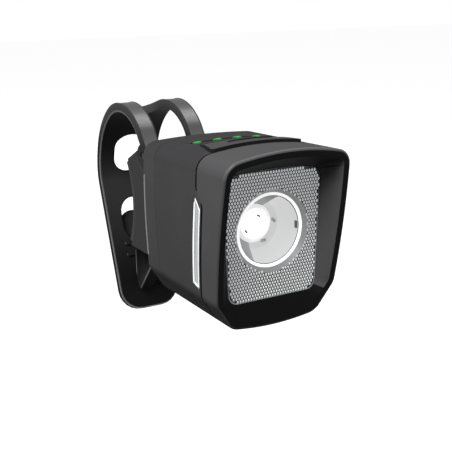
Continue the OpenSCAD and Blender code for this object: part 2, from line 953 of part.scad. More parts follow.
// Saddle surface, moved into the bracket by d
module saddle_cut(d) {
    bar_x(saddle_y + saddle_r, 0, saddle_r + d, -far, far, $fn = 96);
}

// Neck, saddle and hook
module mount_bracket() {
    hook_half = hook_w / 2;
    hook_foot = block_foot - hook_len;
    block = [[cap_rear_y, block_top], [pin_y - eye_r - 1, block_top], [pin_y, pin_z - eye_r + 0.6],
        [pin_y + eye_r, pin_z + 1.3], [saddle_y + 2, horn_top], [horn_y, horn_top - 0.6],
        [horn_y, horn_foot], [horn_y - 1, block_foot], [cap_rear_y, block_foot]];
    hook_y = saddle_y + hook_reach;
    fang = [[saddle_y - hook_root, block_foot + hook_sunk],
        [saddle_y + hook_sunk, block_foot - 0.46 * hook_len],
        [hook_y - hook_tip, hook_foot], [hook_y - 0.4 * hook_tip, hook_foot + 0.6 * hook_tip],
        [hook_y, hook_foot + 2 * hook_tip], [hook_y, block_foot - 0.29 * hook_len],
        [hook_y - hook_tip, block_foot - 0.1 * hook_len], [saddle_y + 2 * hook_sunk, block_foot + 0.6]];
    color("#2c2d2e")
        difference() {
            union() {
                difference() {
                    across(-half_s, half_s, block);
                    for (side = [-1, 1])
                        translate([side * far, 0, 0])
                            bar_x(pin_y, pin_z, eye_r + run_gap, -far + lug_half, far - lug_half);
                    saddle_cut(pad_t);
                }
                across(-hook_half, hook_half, rounded([for (p = fang) [p[0], p[1], 0.7]]));
                bar_x(pin_y, pin_z, eye_r - 0.4, -lug_half, lug_half);
                across(-lug_half, lug_half, [[pin_y - eye_r + 0.4, pin_z], [pin_y + eye_r - 0.4, pin_z],
                    [pin_y + eye_r + 2, block_top], [pin_y - eye_r - 2, block_top]]);
            }
            bar_x(pin_y, pin_z, pin_d / 2, -far, far);
            for (z = bracket_screw_z)
                bar_y(0, z, screw_d, cap_rear_y - 1, cap_rear_y + screw_grip + 0.5);
        }
}

// Screws from inside the cap into the bracket
module bracket_screws() {
    head_y = cap_rear_y - wall - 1;
    color("#8d9093")
        for (z = bracket_screw_z)
            difference() {
                union() {
                    bar_y(0, z, screw_head_d, head_y - screw_head_t, head_y);
                    bar_y(0, z, screw_d, head_y, cap_rear_y + screw_grip);
                }
                translate([0, head_y - screw_head_t + 0.9, z])
                    rotate([90, 0, 0])
                        cylinder(d = 1.6, h = 2, $fn = 6);
            }
}

// Rubber pad lining the saddle
module saddle_pad() {
    color("#191919")
        intersection() {
            difference() {
                saddle_cut(pad_t);
                saddle_cut(0);
            }
            span([-half_s, saddle_y - pad_t - 1, horn_foot + 0.8], [half_s, horn_y, horn_top - 0.8]);
        }
}

// Steel pin through the bracket's lug and the strap's eyes
module strap_pin() {
    color("#a5a8ab")
        bar_x(pin_y, pin_z, pin_d / 2, -half_s + 0.3, half_s - 0.3);
}

// Upright hole through the strap along Y
module strap_hole(z) {
    r = hole_w / 2;
    reach = (hole_h - hole_w) / 2;
    for (side = [-1, 1])
        translate([0, path_end[0] + 30, z + side * reach])
            rotate([90, 0, 0])
                cylinder(r = r, h = 25);
    span([-r, path_end[0] + 5, z - reach], [r, path_end[0] + 30, z + reach]);
}

// Grip rib across the inside of the tail, at a distance along it
module grip_rib(s) {
    at = tail_start + s * [cos(tail_heading), sin(tail_heading), 0];
    inner = [at[0], at[1]] + (strap_t - 0.2) * [sin(tail_heading), -cos(tail_heading)];
    translate([-rib_half, inner[0], inner[1]])
        rotate([tail_heading, 0, 0])
            span([0, -rib_w / 2, -rib_h - 0.2], [2 * rib_half, rib_w / 2, 0]);
}

// Rubber strap: two arms on the pin, a band with two holes, a finger lug and a rounded tab
module strap() {
    tab_foot = path_end[1];
    lug_run = [cos(lug_heading), sin(lug_heading)];
    lug_side = [sin(lug_heading), -cos(lug_heading)];
    root = [lug_root[0], lug_root[1]] - [1.2, 0];
    lug_top = root[1] + lug_len * lug_run[1];
    color("#2b2c2d")
        difference() {
            union() {
                intersection() {
                    across(-half_s, half_s, strap_profile());
                    translate([0, far * 2, 0])
                        rotate([90, 0, 0])
                            linear_extrude(far * 4)
                                polygon(rounded([[-half_s, tab_foot, tab_r], [half_s, tab_foot, tab_r],
                                    [half_s, crown_top + 5, 0], [-half_s, crown_top + 5, 0]]));
                }
                for (side = [-1, 1])
                    translate([side * (half_s + arm_gap / 2) / 2, 0, 0])
                        bar_x(pin_y, pin_z, eye_r, -(half_s - arm_gap / 2) / 2, (half_s - arm_gap / 2) / 2);
                intersection() {
                    across(-lug_w / 2, lug_w / 2, [root, root + lug_len * lug_run,
                        root + lug_len * lug_run + lug_t * lug_side, root + lug_t * lug_side]);
                    translate([0, far * 2, 0])
                        rotate([90, 0, 0])
                            linear_extrude(far * 4)
                                polygon(rounded([[-lug_w / 2, root[1] - 9, 0], [lug_w / 2, root[1] - 9, 0],
                                    [lug_w / 2, lug_top, 4], [-lug_w / 2, lug_top, 4]]));
                }
                for (i = [0:rib_count - 1])
                    grip_rib(rib_first - i * rib_pitch);
            }
            span([-arm_gap / 2, pin_y - far, pin_z - 2 * eye_r],
                [arm_gap / 2, gap_end_y - arm_gap / 2, crown_top + 5]);
            translate([0, gap_end_y - arm_gap / 2, pin_z])
                cylinder(d = arm_gap, h = far);
            for (z = hole_z)
                strap_hole(z);
            bar_x(pin_y, pin_z, pin_d / 2 + pin_fit, -far, far);
        }
}

front_bezel();
rear_housing();
rear_cap();
front_lens();
lens_gasket();
optic_ring();
reflector();
led_hub();
led_chip();
led_board();
heat_sink();
side_window_left();
side_window_right();
cap_seal();
housing_screws();
main_board();
tact_switch();
switch_plunger();
indicator_leds();
indicator_lenses();
power_button();
button_seal();
battery_cell();
battery_tray();
battery_leads();
charge_board();
charge_socket();
charge_ribbon();
port_cover();
cover_pin();
mount_bracket();
bracket_screws();
saddle_pad();
strap_pin();
strap();
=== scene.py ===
import math

import bmesh
import bpy
from mathutils import Matrix, Vector


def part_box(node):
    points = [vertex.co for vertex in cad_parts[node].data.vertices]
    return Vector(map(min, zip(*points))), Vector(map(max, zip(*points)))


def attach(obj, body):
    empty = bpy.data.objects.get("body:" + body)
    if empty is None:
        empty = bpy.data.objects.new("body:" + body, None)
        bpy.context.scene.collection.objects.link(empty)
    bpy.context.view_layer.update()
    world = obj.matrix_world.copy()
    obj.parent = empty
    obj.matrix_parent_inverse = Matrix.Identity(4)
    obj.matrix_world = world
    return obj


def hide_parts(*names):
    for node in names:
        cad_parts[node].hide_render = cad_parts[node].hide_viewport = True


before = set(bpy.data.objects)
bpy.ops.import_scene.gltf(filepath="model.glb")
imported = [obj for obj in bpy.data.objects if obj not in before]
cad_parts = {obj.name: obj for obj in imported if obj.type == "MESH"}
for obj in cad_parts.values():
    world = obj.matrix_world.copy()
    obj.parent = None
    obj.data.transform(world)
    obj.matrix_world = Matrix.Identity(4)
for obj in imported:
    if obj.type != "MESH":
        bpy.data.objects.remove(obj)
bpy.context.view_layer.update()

# Camera.
# The lamp is seen from its front left and a little above, close enough for firm perspective.
# Place and lens come from lining up the edges of the body in a square picture.
MM = 0.001
LENS_LENGTH = 66.75
SENSOR_WIDTH = 36
CAMERA_SPOT = (-101.34, -231.87, 55.78)
CAMERA_TURN, CAMERA_TILT, CAMERA_ROLL = -29.52, 74.85, -1.05
camera_lens = bpy.data.cameras.new("photo_camera")
camera_lens.lens = LENS_LENGTH
camera_lens.sensor_width = SENSOR_WIDTH
camera = bpy.data.objects.new("photo_camera", camera_lens)
camera_turn = (Matrix.Rotation(math.radians(CAMERA_TURN), 4, "Z")
               @ Matrix.Rotation(math.radians(CAMERA_TILT), 4, "X")
               @ Matrix.Rotation(math.radians(CAMERA_ROLL), 4, "Z"))
camera.matrix_world = Matrix.Translation(Vector(CAMERA_SPOT) * MM) @ camera_turn
bpy.context.scene.collection.objects.link(camera)
bpy.context.scene.camera = camera
bpy.context.scene.view_settings.view_transform = "Standard"

# Hood.
# The front shell of the body, moulded in black ABS with a spark-eroded satin face.
# Its raked rim shades the lens, and a tongue at its rear edge slides into the housing.
BODY_LEN = 43
HALF_W = 16.5
HIP_Z = -33
FOOT_HALF = 11.9
FOOT_Z = -40
CORNER_R = 3
TOP_BOW = 2.1
BOW_FALL = 0.034
TOP_FALL = 0.011
SIDE_BOW = 0.6
FOOT_BOW = 1.1
WALL = 1.6
HAIR = 0.05
EDGE_STEP = 0.9
CORNER_STEPS = 6
RIM_RAKE = math.radians(9.7)
RIM_LIP = 1.9
RIM_ROUND = 0.55
LENS_Y = 7.7
LENS_BACK = 10.7
LENS_TOP = (13.5, -4.6, 2.4)  # half width, height and corner radius
LENS_FOOT = (11.9, -34.3, 2.4)
LENS_BOW = 1.3
LENS_SEAT = 0.95
SEAT_ROOM = 0.3
SEAT_SHELF = 0.9
# Painted shade: heights, left and right, below which the recess is drawn black.
SHADE_Z = (-24, -33.5)  # the recess is black below, at the left and the right
SEAM_Y = 12.8
SEAM_STEP = 2.9
SEAM_SLANT = 2.3
STEP_TOP = -6.6
STEP_FOOT = -11
SEAM_GAP = 0.55
TONGUE_LEN = 2
TONGUE_T = 0.8
BODY = ((-HALF_W, 0, CORNER_R), (HALF_W, 0, CORNER_R), (HALF_W, HIP_Z, CORNER_R),
        (FOOT_HALF, FOOT_Z, CORNER_R), (-FOOT_HALF, FOOT_Z, CORNER_R), (-HALF_W, HIP_Z, CORNER_R))

# Lamp pieces are drawn in millimetres from the front top edge of the hood, rearwards and downwards.
cap_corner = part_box("rear_cap")[1]
LAMP = (Matrix.Translation((0, cap_corner.y - BODY_LEN * MM, cap_corner.z - TOP_BOW * MM))
        @ Matrix.Scale(MM, 4))
# Heights over which painted shade darkens the roofs of hood, housing and cap.
ROOF_HIGH = LAMP.translation.z / MM
ROOF_TURN = 5
ROOF_LOW = ROOF_HIGH - ROOF_TURN

# Axes of a drawing made across the lamp.
ACROSS = Matrix(((1, 0, 0), (0, 0, 1), (0, 1, 0)))
FLOW_MM = 8
GLOSS_SPREAD = 0.08


def linear(code):
    """Linear colour of an sRGB hex value."""
    parts = [int(code[i:i + 2], 16) / 255 for i in (0, 2, 4)]
    return [p / 12.92 if p <= 0.04045 else ((p + 0.055) / 1.055) ** 2.4 for p in parts] + [1]


def add(tree, kind, inputs=None, **settings):
    """Adds a node with its settings, values and links."""
    made = tree.nodes.new("ShaderNode" + kind)
    for name, value in settings.items():
        setattr(made, name, value)
    for socket, value in (inputs or {}).items():
        if isinstance(value, bpy.types.NodeSocket):
            tree.links.new(value, made.inputs[socket])
        else:
            made.inputs[socket].default_value = value
    return made


def start_material(name, **sockets):
    """A material with constants set on its shader, its node tree and its object coordinates."""
    material = bpy.data.materials.new(name)
    material.use_nodes = True
    shader = material.node_tree.nodes["Principled BSDF"]
    for socket, value in sockets.items():
        shader.inputs[socket.replace("_", " ")].default_value = value
    spot = add(material.node_tree, "TexCoord").outputs["Object"]
    return material, material.node_tree, shader, spot


def moulded(name, colour, cloud, rough, grain_mm, grain_deep, glow=0, glow_colour="ffffff", **sockets):
    """Moulded plastic or rubber: an even tone with faint flow clouds and a fine tool grain."""
    if glow:
        sockets.update(Emission_Color=linear(glow_colour), Emission_Strength=glow)
    material, tree, shader, spot = start_material(name, **sockets)
    flow = add(tree, "TexNoise", {"Vector": spot, "Scale": 1 / (FLOW_MM * MM), "Detail": 3})
    tone = add(tree, "Mix", {0: flow.outputs["Fac"], 6: linear(colour), 7: linear(cloud)}, data_type="RGBA")
    # The real tool grain is finer than 0.1 mm and would not show, so it is drawn coarser.
    grain = add(tree, "TexNoise", {"Vector": spot, "Scale": 1 / (grain_mm * MM), "Detail": 2})
    gloss = add(tree, "MapRange", {"Value": grain.outputs["Fac"], "To Min": rough - GLOSS_SPREAD,
                                   "To Max": rough + GLOSS_SPREAD})
    bump = add(tree, "Bump", {"Height": grain.outputs["Fac"], "Distance": grain_deep * MM, "Strength": 0.5})
    tree.links.new(tone.outputs[2], shader.inputs["Base Color"])
    tree.links.new(gloss.outputs["Result"], shader.inputs["Roughness"])
    tree.links.new(bump.outputs["Normal"], shader.inputs["Normal"])
    return material


def oblong(half, near, far, corner, far_half=None, far_corner=None, middle=0):
    """Four corners u, v and radius of an outline, from its near edge to its far one."""
    far_half = half if far_half is None else far_half
    far_corner = corner if far_corner is None else far_corner
    return ((middle - half, near, corner), (middle + half, near, corner),
            (middle + far_half, far, far_corner), (middle - far_half, far, far_corner))


def outline(bm, corners, axes, level, step=EDGE_STEP):
    """Flat face through corners u, v and radius, with round corners and its long runs divided."""
    others = set(bm.faces)
    verts = [bm.verts.new(axes @ Vector((u, v, level))) for u, v, radius in corners]
    bm.faces.new(verts)
    for vert, (u, v, radius) in zip(verts, corners):
        one, two = (edge.other_vert(vert).co - vert.co for edge in vert.link_edges)
        if radius:
            bmesh.ops.bevel(bm, geom=[vert], offset=radius / math.tan(one.angle(two) / 2), affect="VERTICES",
                            segments=CORNER_STEPS, profile=0.5, material=-1)
    face = next(f for f in bm.faces if f not in others)
    for edge in [e for e in face.edges if e.calc_length() > 2 * step]:
        bmesh.ops.subdivide_edges(bm, edges=[edge], cuts=int(edge.calc_length() / step))
    return next(f for f in bm.faces if f not in others)


def push(bm, faces, way):
    """Extrudes faces along a vector and returns the faces at the far end."""
    edges = {edge for face in faces for edge in face.edges}
    made = bmesh.ops.extrude_face_region(bm, geom=faces + list(edges))["geom"]
    bmesh.ops.translate(bm, verts=[g for g in made if isinstance(g, bmesh.types.BMVert)], vec=way)
    return [g for g in made if isinstance(g, bmesh.types.BMFace)]


def paint(faces, finish):
    """Gives faces one of the piece's finishes."""
    for face in faces:
        face.material_index = finish


def opened(bm, face):
    """Removes a face and returns the edges that were round it."""
    edges = face.edges[:]
    bmesh.ops.delete(bm, geom=[face], context="FACES_ONLY")
    return edges


def swell(face):
    """Arches the top, the sides and the sole of a section of the body."""
    for vert in face.verts:
        x, z = vert.co.x, vert.co.z
        share = min(max(z / HIP_Z, 0), 1)
        vert.co.x += math.copysign(SIDE_BOW * 4 * share * (1 - share), x)
        if z > HIP_Z / 2:
            vert.co.z += TOP_BOW * max(0, 1 - (x / HALF_W) ** 2)
        elif z < HIP_Z:
            vert.co.z -= FOOT_BOW * max(0, 1 - (x / FOOT_HALF) ** 2)


def settle(bm):
    """Lets the top of a finished lamp piece fall gently towards the rear, where its arch grows flatter."""
    for vert in bm.verts:
        x, y, z = vert.co
        share = min(max(1 - 3 * z / HIP_Z, 0), 1)
        vert.co.z -= share * y * (TOP_FALL + BOW_FALL * max(0, 1 - (x / HALF_W) ** 2))


def seam(z):
    """Depth of the joint between hood and housing at a height: it steps forwards below the shoulder."""
    step = min(max((STEP_TOP - z) / (STEP_TOP - STEP_FOOT), 0), 1)
    slant = min(max((STEP_FOOT - z) / (STEP_FOOT - HIP_Z), 0), 1)
    return SEAM_Y - SEAM_STEP * step * step * (3 - 2 * step) + SEAM_SLANT * slant


def lens_outline(bm, grow, y):
    """Face with the outline of the lens, made larger, at a depth."""
    half, top, round_top = LENS_TOP
    foot_half, foot, round_foot = LENS_FOOT
    corners = oblong(half + grow, top + grow, foot - grow, round_top + grow, foot_half + grow, round_foot + grow)
    face = outline(bm, corners, ACROSS, y)
    for vert in face.verts:
        if vert.co.z > FOOT_Z / 2:
            vert.co.z += LENS_BOW * max(0, 1 - (vert.co.x / half) ** 2)
    return face


def piece(name, bm, place, materials, body, nodes=(), rounding=0, sharp=35):
    """Sets a finished mesh in the shared frame, rounds its sharp edges and lets it ride on its body."""
    bmesh.ops.remove_doubles(bm, verts=bm.verts, dist=0.0005)
    bmesh.ops.recalc_face_normals(bm, faces=bm.faces)
    bm.transform(place)
    mesh = bpy.data.meshes.new(name)
    bm.to_mesh(mesh)
    bm.free()
    for material in materials:
        mesh.materials.append(material)
    mesh.shade_smooth()
    mesh.set_sharp_from_angle(angle=math.radians(sharp))
    made = bpy.data.objects.new(name, mesh)
    bpy.context.scene.collection.objects.link(made)
    if rounding:
        bevel = made.modifiers.new("rounding", "BEVEL")
        bevel.width = rounding * MM
        bevel.segments = 3
        bevel.limit_method = "ANGLE"
        bevel.angle_limit = math.radians(sharp)
        bevel.use_clamp_overlap = False
        bevel.harden_normals = True
    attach(made, body)
    if nodes:
        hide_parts(*nodes)
    return made


def tone_to(material, colour, low, high):
    """Lets a material's tone change to another one between two heights of the shared frame."""
    tree = material.node_tree
    shader = tree.nodes["Principled BSDF"]
    height = add(tree, "SeparateXYZ", {"Vector": add(tree, "TexCoord").outputs["Object"]}).outputs["Z"]
    share = add(tree, "MapRange", {"Value": height, "From Min": low * MM, "From Max": high * MM},
                interpolation_type="SMOOTHSTEP").outputs["Result"]
    plain = shader.inputs["Base Color"].links[0].from_socket
    tone = add(tree, "Mix", {0: share, 6: plain, 7: linear(colour)}, data_type="RGBA")
    tree.links.new(tone.outputs[2], shader.inputs["Base Color"])


# Spark-eroded ABS spreads light evenly: charcoal without a highlight, with painted shade a little darker on the roof.
hood_satin = moulded("hood_satin_abs", "4a4a4b", "444445", 0.85, 0.3, 0.02, IOR=1.53, Specular_IOR_Level=0.01)
tone_to(hood_satin, "434344", ROOF_LOW, ROOF_HIGH)
# ABS rubbed smooth along the top of the rim: a soft grey line of light.
hood_edge = moulded("hood_burnished_abs", "484849", "424243", 0.45, 0.3, 0.01, IOR=1.53, Specular_IOR_Level=0.2)
# ABS with painted shade on the lip and in the recess, and the dark seam joint: near black, so that the lens stands
# out.
hood_shade_and_seam = moulded("hood_painted_shade_and_seam_abs", "121213", "0f0f10", 0.6, 0.3, 0.02, IOR=1.53, Specular_IOR_Level=0.03)

bm = bmesh.new()
rim = outline(bm, BODY, ACROSS, 0)
swell(rim)
seam_face = push(bm, [rim], (0, SEAM_Y, 0))[0]
for vert in seam_face.verts:
    vert.co.y = seam(vert.co.z)
for vert in rim.verts:
    vert.co.y = -vert.co.z * math.tan(RIM_RAKE)
rim_edges = rim.edges[:]
lip = bmesh.ops.inset_region(bm, faces=[rim], thickness=RIM_LIP, use_even_offset=True)["faces"]
mouth_edges = opened(bm, rim)
view_edges = opened(bm, lens_outline(bm, 0, LENS_Y))
recess = bmesh.ops.bridge_loops(bm, edges=mouth_edges + view_edges)["faces"]
# Painted shade: the lip, the recess's roof and sill, and its walls low down take the near-black finish.
for face in lip + recess:
    face.normal_update()
    middle = face.calc_center_median()
    if middle.z < SHADE_Z[middle.x > 0] or abs(face.normal.x) < 0.5:
        face.material_index = 1
seat_edges = opened(bm, lens_outline(bm, LENS_SEAT, LENS_Y))
bmesh.ops.bridge_loops(bm, edges=view_edges + seat_edges)
seat_rear_edges = opened(bm, lens_outline(bm, LENS_SEAT, LENS_BACK + SEAT_ROOM))
bmesh.ops.bridge_loops(bm, edges=seat_edges + seat_rear_edges)
bmesh.ops.inset_region(bm, faces=[seam_face], thickness=WALL + HAIR, use_even_offset=True)
tongue_face = push(bm, [seam_face], (0, TONGUE_LEN, 0))[0]
bmesh.ops.inset_region(bm, faces=[tongue_face], thickness=TONGUE_T, use_even_offset=True)
inner_face = push(bm, [tongue_face], (0, -TONGUE_LEN, 0))[0]
for vert in inner_face.verts:
    vert.co.y = LENS_BACK + SEAT_SHELF
bmesh.ops.bridge_loops(bm, edges=seat_rear_edges + opened(bm, inner_face))
for face in bmesh.ops.bevel(bm, geom=rim_edges, offset=RIM_ROUND, affect="EDGES", segments=4, profile=0.5,
                            material=-1)["faces"]:
    face.material_index = 2 if face.calc_center_median().z > -CORNER_R else 0
for face in bm.faces:
    middle = face.calc_center_median()
    if middle.y > seam(middle.z) - HAIR:
        face.material_index = 1
settle(bm)
piece("front_hood", bm, LAMP, [hood_satin, hood_shade_and_seam, hood_edge], "lamp", ["front_bezel"], rounding=0.12)

# Housing.
# The middle shell, a tube of the same ABS between hood and cap, one shade darker than the hood.
# It is cut through for the button, the side windows and the charging port, and grooved for the indicators.
CAP_Y = 34.8
RUN_GAP = 0.3
CUT_LOW, CUT_HIGH = -3, 6
BUTTON_FRONT = 13.4
BUTTON_REAR = 24.6
BUTTON_HALF = 12.4
BUTTON_REAR_HALF = 9.3
BUTTON_CORNER = 0.8
GROOVE_FRONT = 26.9
GROOVE_REAR = 29.1
GROOVE_HALF = 10
GROOVE_DEEP = 0.7
GROOVE_CORNER = 0.9
PIPE_X = (-8.4, -2.8, 2.8, 8.4)
PIPE_W = 2.6
PIPE_MARGIN = 0.4
PIPE_CORNER = 0.5
WINDOW_TOP = -10.6
WINDOW_PEAK = 1.6
WINDOW_PEAK_AT = 0.8
WINDOW_DROP = 1
WINDOW_FOOT = -31
WINDOW_W = 2.9
WINDOW_BACK = 1.4
WINDOW_CORNER = 0.3
WINDOW_PLAY = 0.08
WINDOW_CUT = (12, 20)
COVER_FRONT = 20.6
COVER_REAR = 29.1
COVER_HALF = 6.5
COVER_Z = -40.65
COVER_T = 0.8
COVER_BED = (0.8, 1.2)  # corner radii of the bed, front and rear
SOLE_BELOW = -45

# Axes of a drawing in plan, and from the side.
PLAN = Matrix.Identity(3)
SIDE = Matrix(((0, 0, 1), (1, 0, 0), (0, 1, 0)))


def prism(corners, axes, low, high):
    """A rounded outline drawn from one level to another, as a closed mesh of its own."""
    made = bmesh.new()
    push(made, [outline(made, corners, axes, low)], axes @ Vector((0, 0, high - low)))
    bmesh.ops.recalc_face_normals(made, faces=made.faces)
    return made


def rod(radius, low, high, sides=48):
    """A round bar between two points, as a closed mesh of its own."""
    made = bmesh.new()
    way = Vector(high) - Vector(low)
    middle = Matrix.Translation((Vector(low) + Vector(high)) / 2)
    bmesh.ops.create_cone(made, cap_ends=True, segments=sides, radius1=radius, radius2=radius, depth=way.length,
                          matrix=middle @ way.to_track_quat("Z", "Y").to_matrix().to_4x4())
    return made


def combine(bm, tool, operation):
    """Cuts a tool out of a mesh, or joins it on, and returns the new mesh."""
    both = []
    for name, source in (("base", bm), ("tool", tool)):
        bmesh.ops.recalc_face_normals(source, faces=source.faces)
        mesh = bpy.data.meshes.new(name)
        source.to_mesh(mesh)
        source.free()
        both.append(bpy.data.objects.new(name, mesh))
        bpy.context.scene.collection.objects.link(both[-1])
    cut = both[0].modifiers.new("cut", "BOOLEAN")
    cut.object = both[1]
    cut.operation = operation
    cut.solver = "EXACT"
    bpy.context.view_layer.update()
    made = bmesh.new()
    made.from_object(both[0], bpy.context.evaluated_depsgraph_get())
    for used in both:
        mesh = used.data
        bpy.data.objects.remove(used)
        bpy.data.meshes.remove(mesh)
    bmesh.ops.remove_doubles(made, verts=made.verts, dist=0.002)
    bmesh.ops.dissolve_degenerate(made, edges=made.edges, dist=0.002)
    return made


def roof(x):
    """Height of the arched top at a distance from its middle."""
    return TOP_BOW * (1 - (x / HALF_W) ** 2)


def split(bm, way, at):
    """Divides the faces of a mesh where a plane across a direction meets them."""
    bmesh.ops.bisect_plane(bm, geom=bm.verts[:] + bm.edges[:] + bm.faces[:], plane_co=Vector(way) * at, plane_no=way)


def sliced(bm):
    """Divides a mesh at every millimetre across, so that it can follow the arch of the top."""
    for x in range(-int(HALF_W), int(HALF_W) + 1):
        split(bm, (1, 0, 0), x)
    return bm


def button_plan(grow):
    """Corners of the button in plan, made larger."""
    return oblong(BUTTON_HALF + grow, BUTTON_FRONT - grow, BUTTON_REAR + grow, BUTTON_CORNER + grow,
                  BUTTON_REAR_HALF + grow)


def pipe_plan(x, shrink):
    """Corners of one indicator in plan, made smaller."""
    front, rear = GROOVE_FRONT + PIPE_MARGIN + shrink, GROOVE_REAR - PIPE_MARGIN - shrink
    return oblong(PIPE_W / 2 - shrink, front, rear, PIPE_CORNER, middle=x)


def window_side(grow):
    """Corners of a side window from the side, made larger: its front edge runs along the seam."""
    front_top = seam(STEP_FOOT) + WINDOW_BACK - grow
    front_foot = seam(WINDOW_FOOT) + WINDOW_BACK - grow
    wide = WINDOW_W + 2 * grow
    spots = ((front_top, WINDOW_TOP - WINDOW_DROP + grow),
             (front_top + WINDOW_PEAK_AT * wide, WINDOW_TOP + WINDOW_PEAK + WINDOW_PEAK * grow),
             (front_top + wide, WINDOW_TOP + grow),
             (front_foot + wide, WINDOW_FOOT + WINDOW_DROP - grow),
             (front_foot, WINDOW_FOOT - grow))
    return [(y, z, WINDOW_CORNER) for y, z in spots]


bm = bmesh.new()
front = outline(bm, BODY, ACROSS, 0)
swell(front)
shell = bmesh.ops.inset_region(bm, faces=[front], thickness=WALL, use_even_offset=True, use_boundary=True)["faces"]
bmesh.ops.delete(bm, geom=[front], context="FACES_ONLY")
push(bm, shell, (0, CAP_Y, 0))
for vert in bm.verts:
    if vert.co.y < CAP_Y / 2:
        vert.co.y = seam(vert.co.z) + SEAM_GAP
bm = combine(bm, prism(button_plan(RUN_GAP), PLAN, CUT_LOW, CUT_HIGH), "DIFFERENCE")
groove_plan = oblong(GROOVE_HALF, GROOVE_FRONT, GROOVE_REAR, GROOVE_CORNER)
groove = sliced(prism(groove_plan, PLAN, -GROOVE_DEEP, CUT_HIGH))
for vert in groove.verts:
    vert.co.z += roof(vert.co.x)
bm = combine(bm, groove, "DIFFERENCE")
# Painted shade: the groove's floor is drawn black.
for face in bm.faces:
    middle = face.calc_center_median()
    inside = GROOVE_FRONT < middle.y < GROOVE_REAR and abs(middle.x) < GROOVE_HALF
    if inside and HAIR < roof(middle.x) - middle.z < GROOVE_DEEP + 2 * HAIR:
        face.material_index = 1
pipe_holes = bmesh.new()
for x in PIPE_X:
    hole = outline(pipe_holes, pipe_plan(x, 0), PLAN, CUT_LOW)
    push(pipe_holes, [hole], (0, 0, CUT_HIGH - CUT_LOW))
bm = combine(bm, pipe_holes, "DIFFERENCE")
for side in (-1, 1):
    window_hole = prism(window_side(WINDOW_PLAY), SIDE, side * WINDOW_CUT[0], side * WINDOW_CUT[1])
    bm = combine(bm, window_hole, "DIFFERENCE")
cover_bed = oblong(COVER_HALF + RUN_GAP, COVER_FRONT - RUN_GAP, COVER_REAR + RUN_GAP, COVER_BED[0],
                   far_corner=COVER_BED[1])
bm = combine(bm, prism(cover_bed, PLAN, SOLE_BELOW, COVER_Z + COVER_T + RUN_GAP), "DIFFERENCE")
# The housing's front edge at the seam is a dark joint.
for face in bm.faces:
    face.normal_update()
    if face.normal.y < -0.8 and face.calc_center_median().y < SEAM_Y + 1:
        face.material_index = 1
# Satin ABS again: an even charcoal, one shade darker than the hood, with painted shade darkest on the roof.
housing_satin = moulded("housing_satin_abs", "414142", "3b3b3c", 0.85, 0.3, 0.02, IOR=1.53, Specular_IOR_Level=0.01)
tone_to(housing_satin, "303031", ROOF_LOW, ROOF_HIGH)
# ABS with painted shade on the groove's floor, and the dark joint at the seam: plain black lines.
groove_shade_and_seam = moulded("groove_shade_and_seam_abs", "0f0f10", "0b0b0c", 0.7, 0.3, 0.02, IOR=1.53, Specular_IOR_Level=0.01)
settle(bm)
piece("middle_housing", bm, LAMP, [housing_satin, groove_shade_and_seam], "lamp", ["rear_housing"], rounding=0.15)

# Rear cap.
# The closing shell of the body, moulded in ABS, with a rounded rear edge.
# Four screws in counterbores draw it against the housing, and it carries the bracket.
CAP_ROUND = 2.2
CAP_GAP = 0.25
CAP_EDGE = 0.3
CAP_EDGE_TOP, CAP_EDGE_FOOT = -8.5, -29.5
SCREW_SPOTS = ((-11.7, -4.8), (11.7, -4.8), (-9.7, -35.8), (9.7, -35.8))
SCREW_HEAD_R = 1.9
SCREW_HEAD_T = 1.5
bm = bmesh.new()
mouth = outline(bm, BODY, ACROSS, CAP_Y + CAP_GAP)
swell(mouth)
rear = push(bm, [mouth], (0, BODY_LEN - CAP_Y - CAP_GAP, 0))[0]
bmesh.ops.bevel(bm, geom=rear.edges[:], offset=CAP_ROUND, affect="EDGES", segments=6, profile=0.5, material=-1)
# Painted highlight: a narrow band at the rear rounding, on the flanks only, takes a paler, glossier finish.
edge_y = BODY_LEN - CAP_ROUND - CAP_EDGE
split(bm, (0, 1, 0), edge_y)
for face in bm.faces:
    middle = face.calc_center_median()
    if middle.y > edge_y and abs(face.normal.x) > 0.95 and CAP_EDGE_FOOT < middle.z < CAP_EDGE_TOP:
        face.material_index = 1
mouth = min(bm.faces, key=lambda face: face.calc_center_median().y)
bmesh.ops.inset_region(bm, faces=[mouth], thickness=WALL, use_even_offset=True)
push(bm, [mouth], (0, BODY_LEN - CAP_Y - CAP_GAP - WALL, 0))
for x, z in SCREW_SPOTS:
    bm = combine(bm, rod(SCREW_HEAD_R, (x, BODY_LEN - SCREW_HEAD_T, z), (x, BODY_LEN + 1, z)), "DIFFERENCE")
# Satin ABS as on the housing: an even charcoal, with painted shade that darkens it over the roof.
cap_satin = moulded("cap_satin_abs", "444445", "3e3e3f", 0.85, 0.3, 0.02, IOR=1.53, Specular_IOR_Level=0.01)
tone_to(cap_satin, "303031", ROOF_LOW, ROOF_HIGH)
# Painted highlight where the side turns to the rear: a paler, glossier thin line.
cap_painted_highlight = moulded("cap_painted_highlight_abs", "565657", "4f4f50", 0.4, 0.3, 0.01, IOR=1.53, Specular_IOR_Level=0.3)
settle(bm)
piece("rear_cover", bm, LAMP, [cap_satin, cap_painted_highlight], "lamp", ["rear_cap"], rounding=0.12)

# Front lens.
# A polycarbonate plate with a fine field of moulded prisms round the optic, and a plain collar there.
# The prisms scatter light from the optic, drawn as a painted glow, so they show as bright points on a smoky ground.
OPTIC_Z = -18.2
RING_R = 8.95
RING_FRONT = 8.6
RING_BACK = 9.2
COLLAR_R = 10
COLLAR_DIP = 0.1
COLLAR_PROUD = 0.02
LENS_BRIM = 0.28
LENS_PLAY = 0.15
LENS_FACE = LENS_Y + 0.03
PRISM_PITCH = 0.735
PRISM_ROW = 0.757
PRISM_R = 0.27
PRISM_TALL = 1.5
PRISM_H = 0.22
PRISM_EDGE = 0.1
PRISM_LAP = 0.15
TURN_STEPS = 72


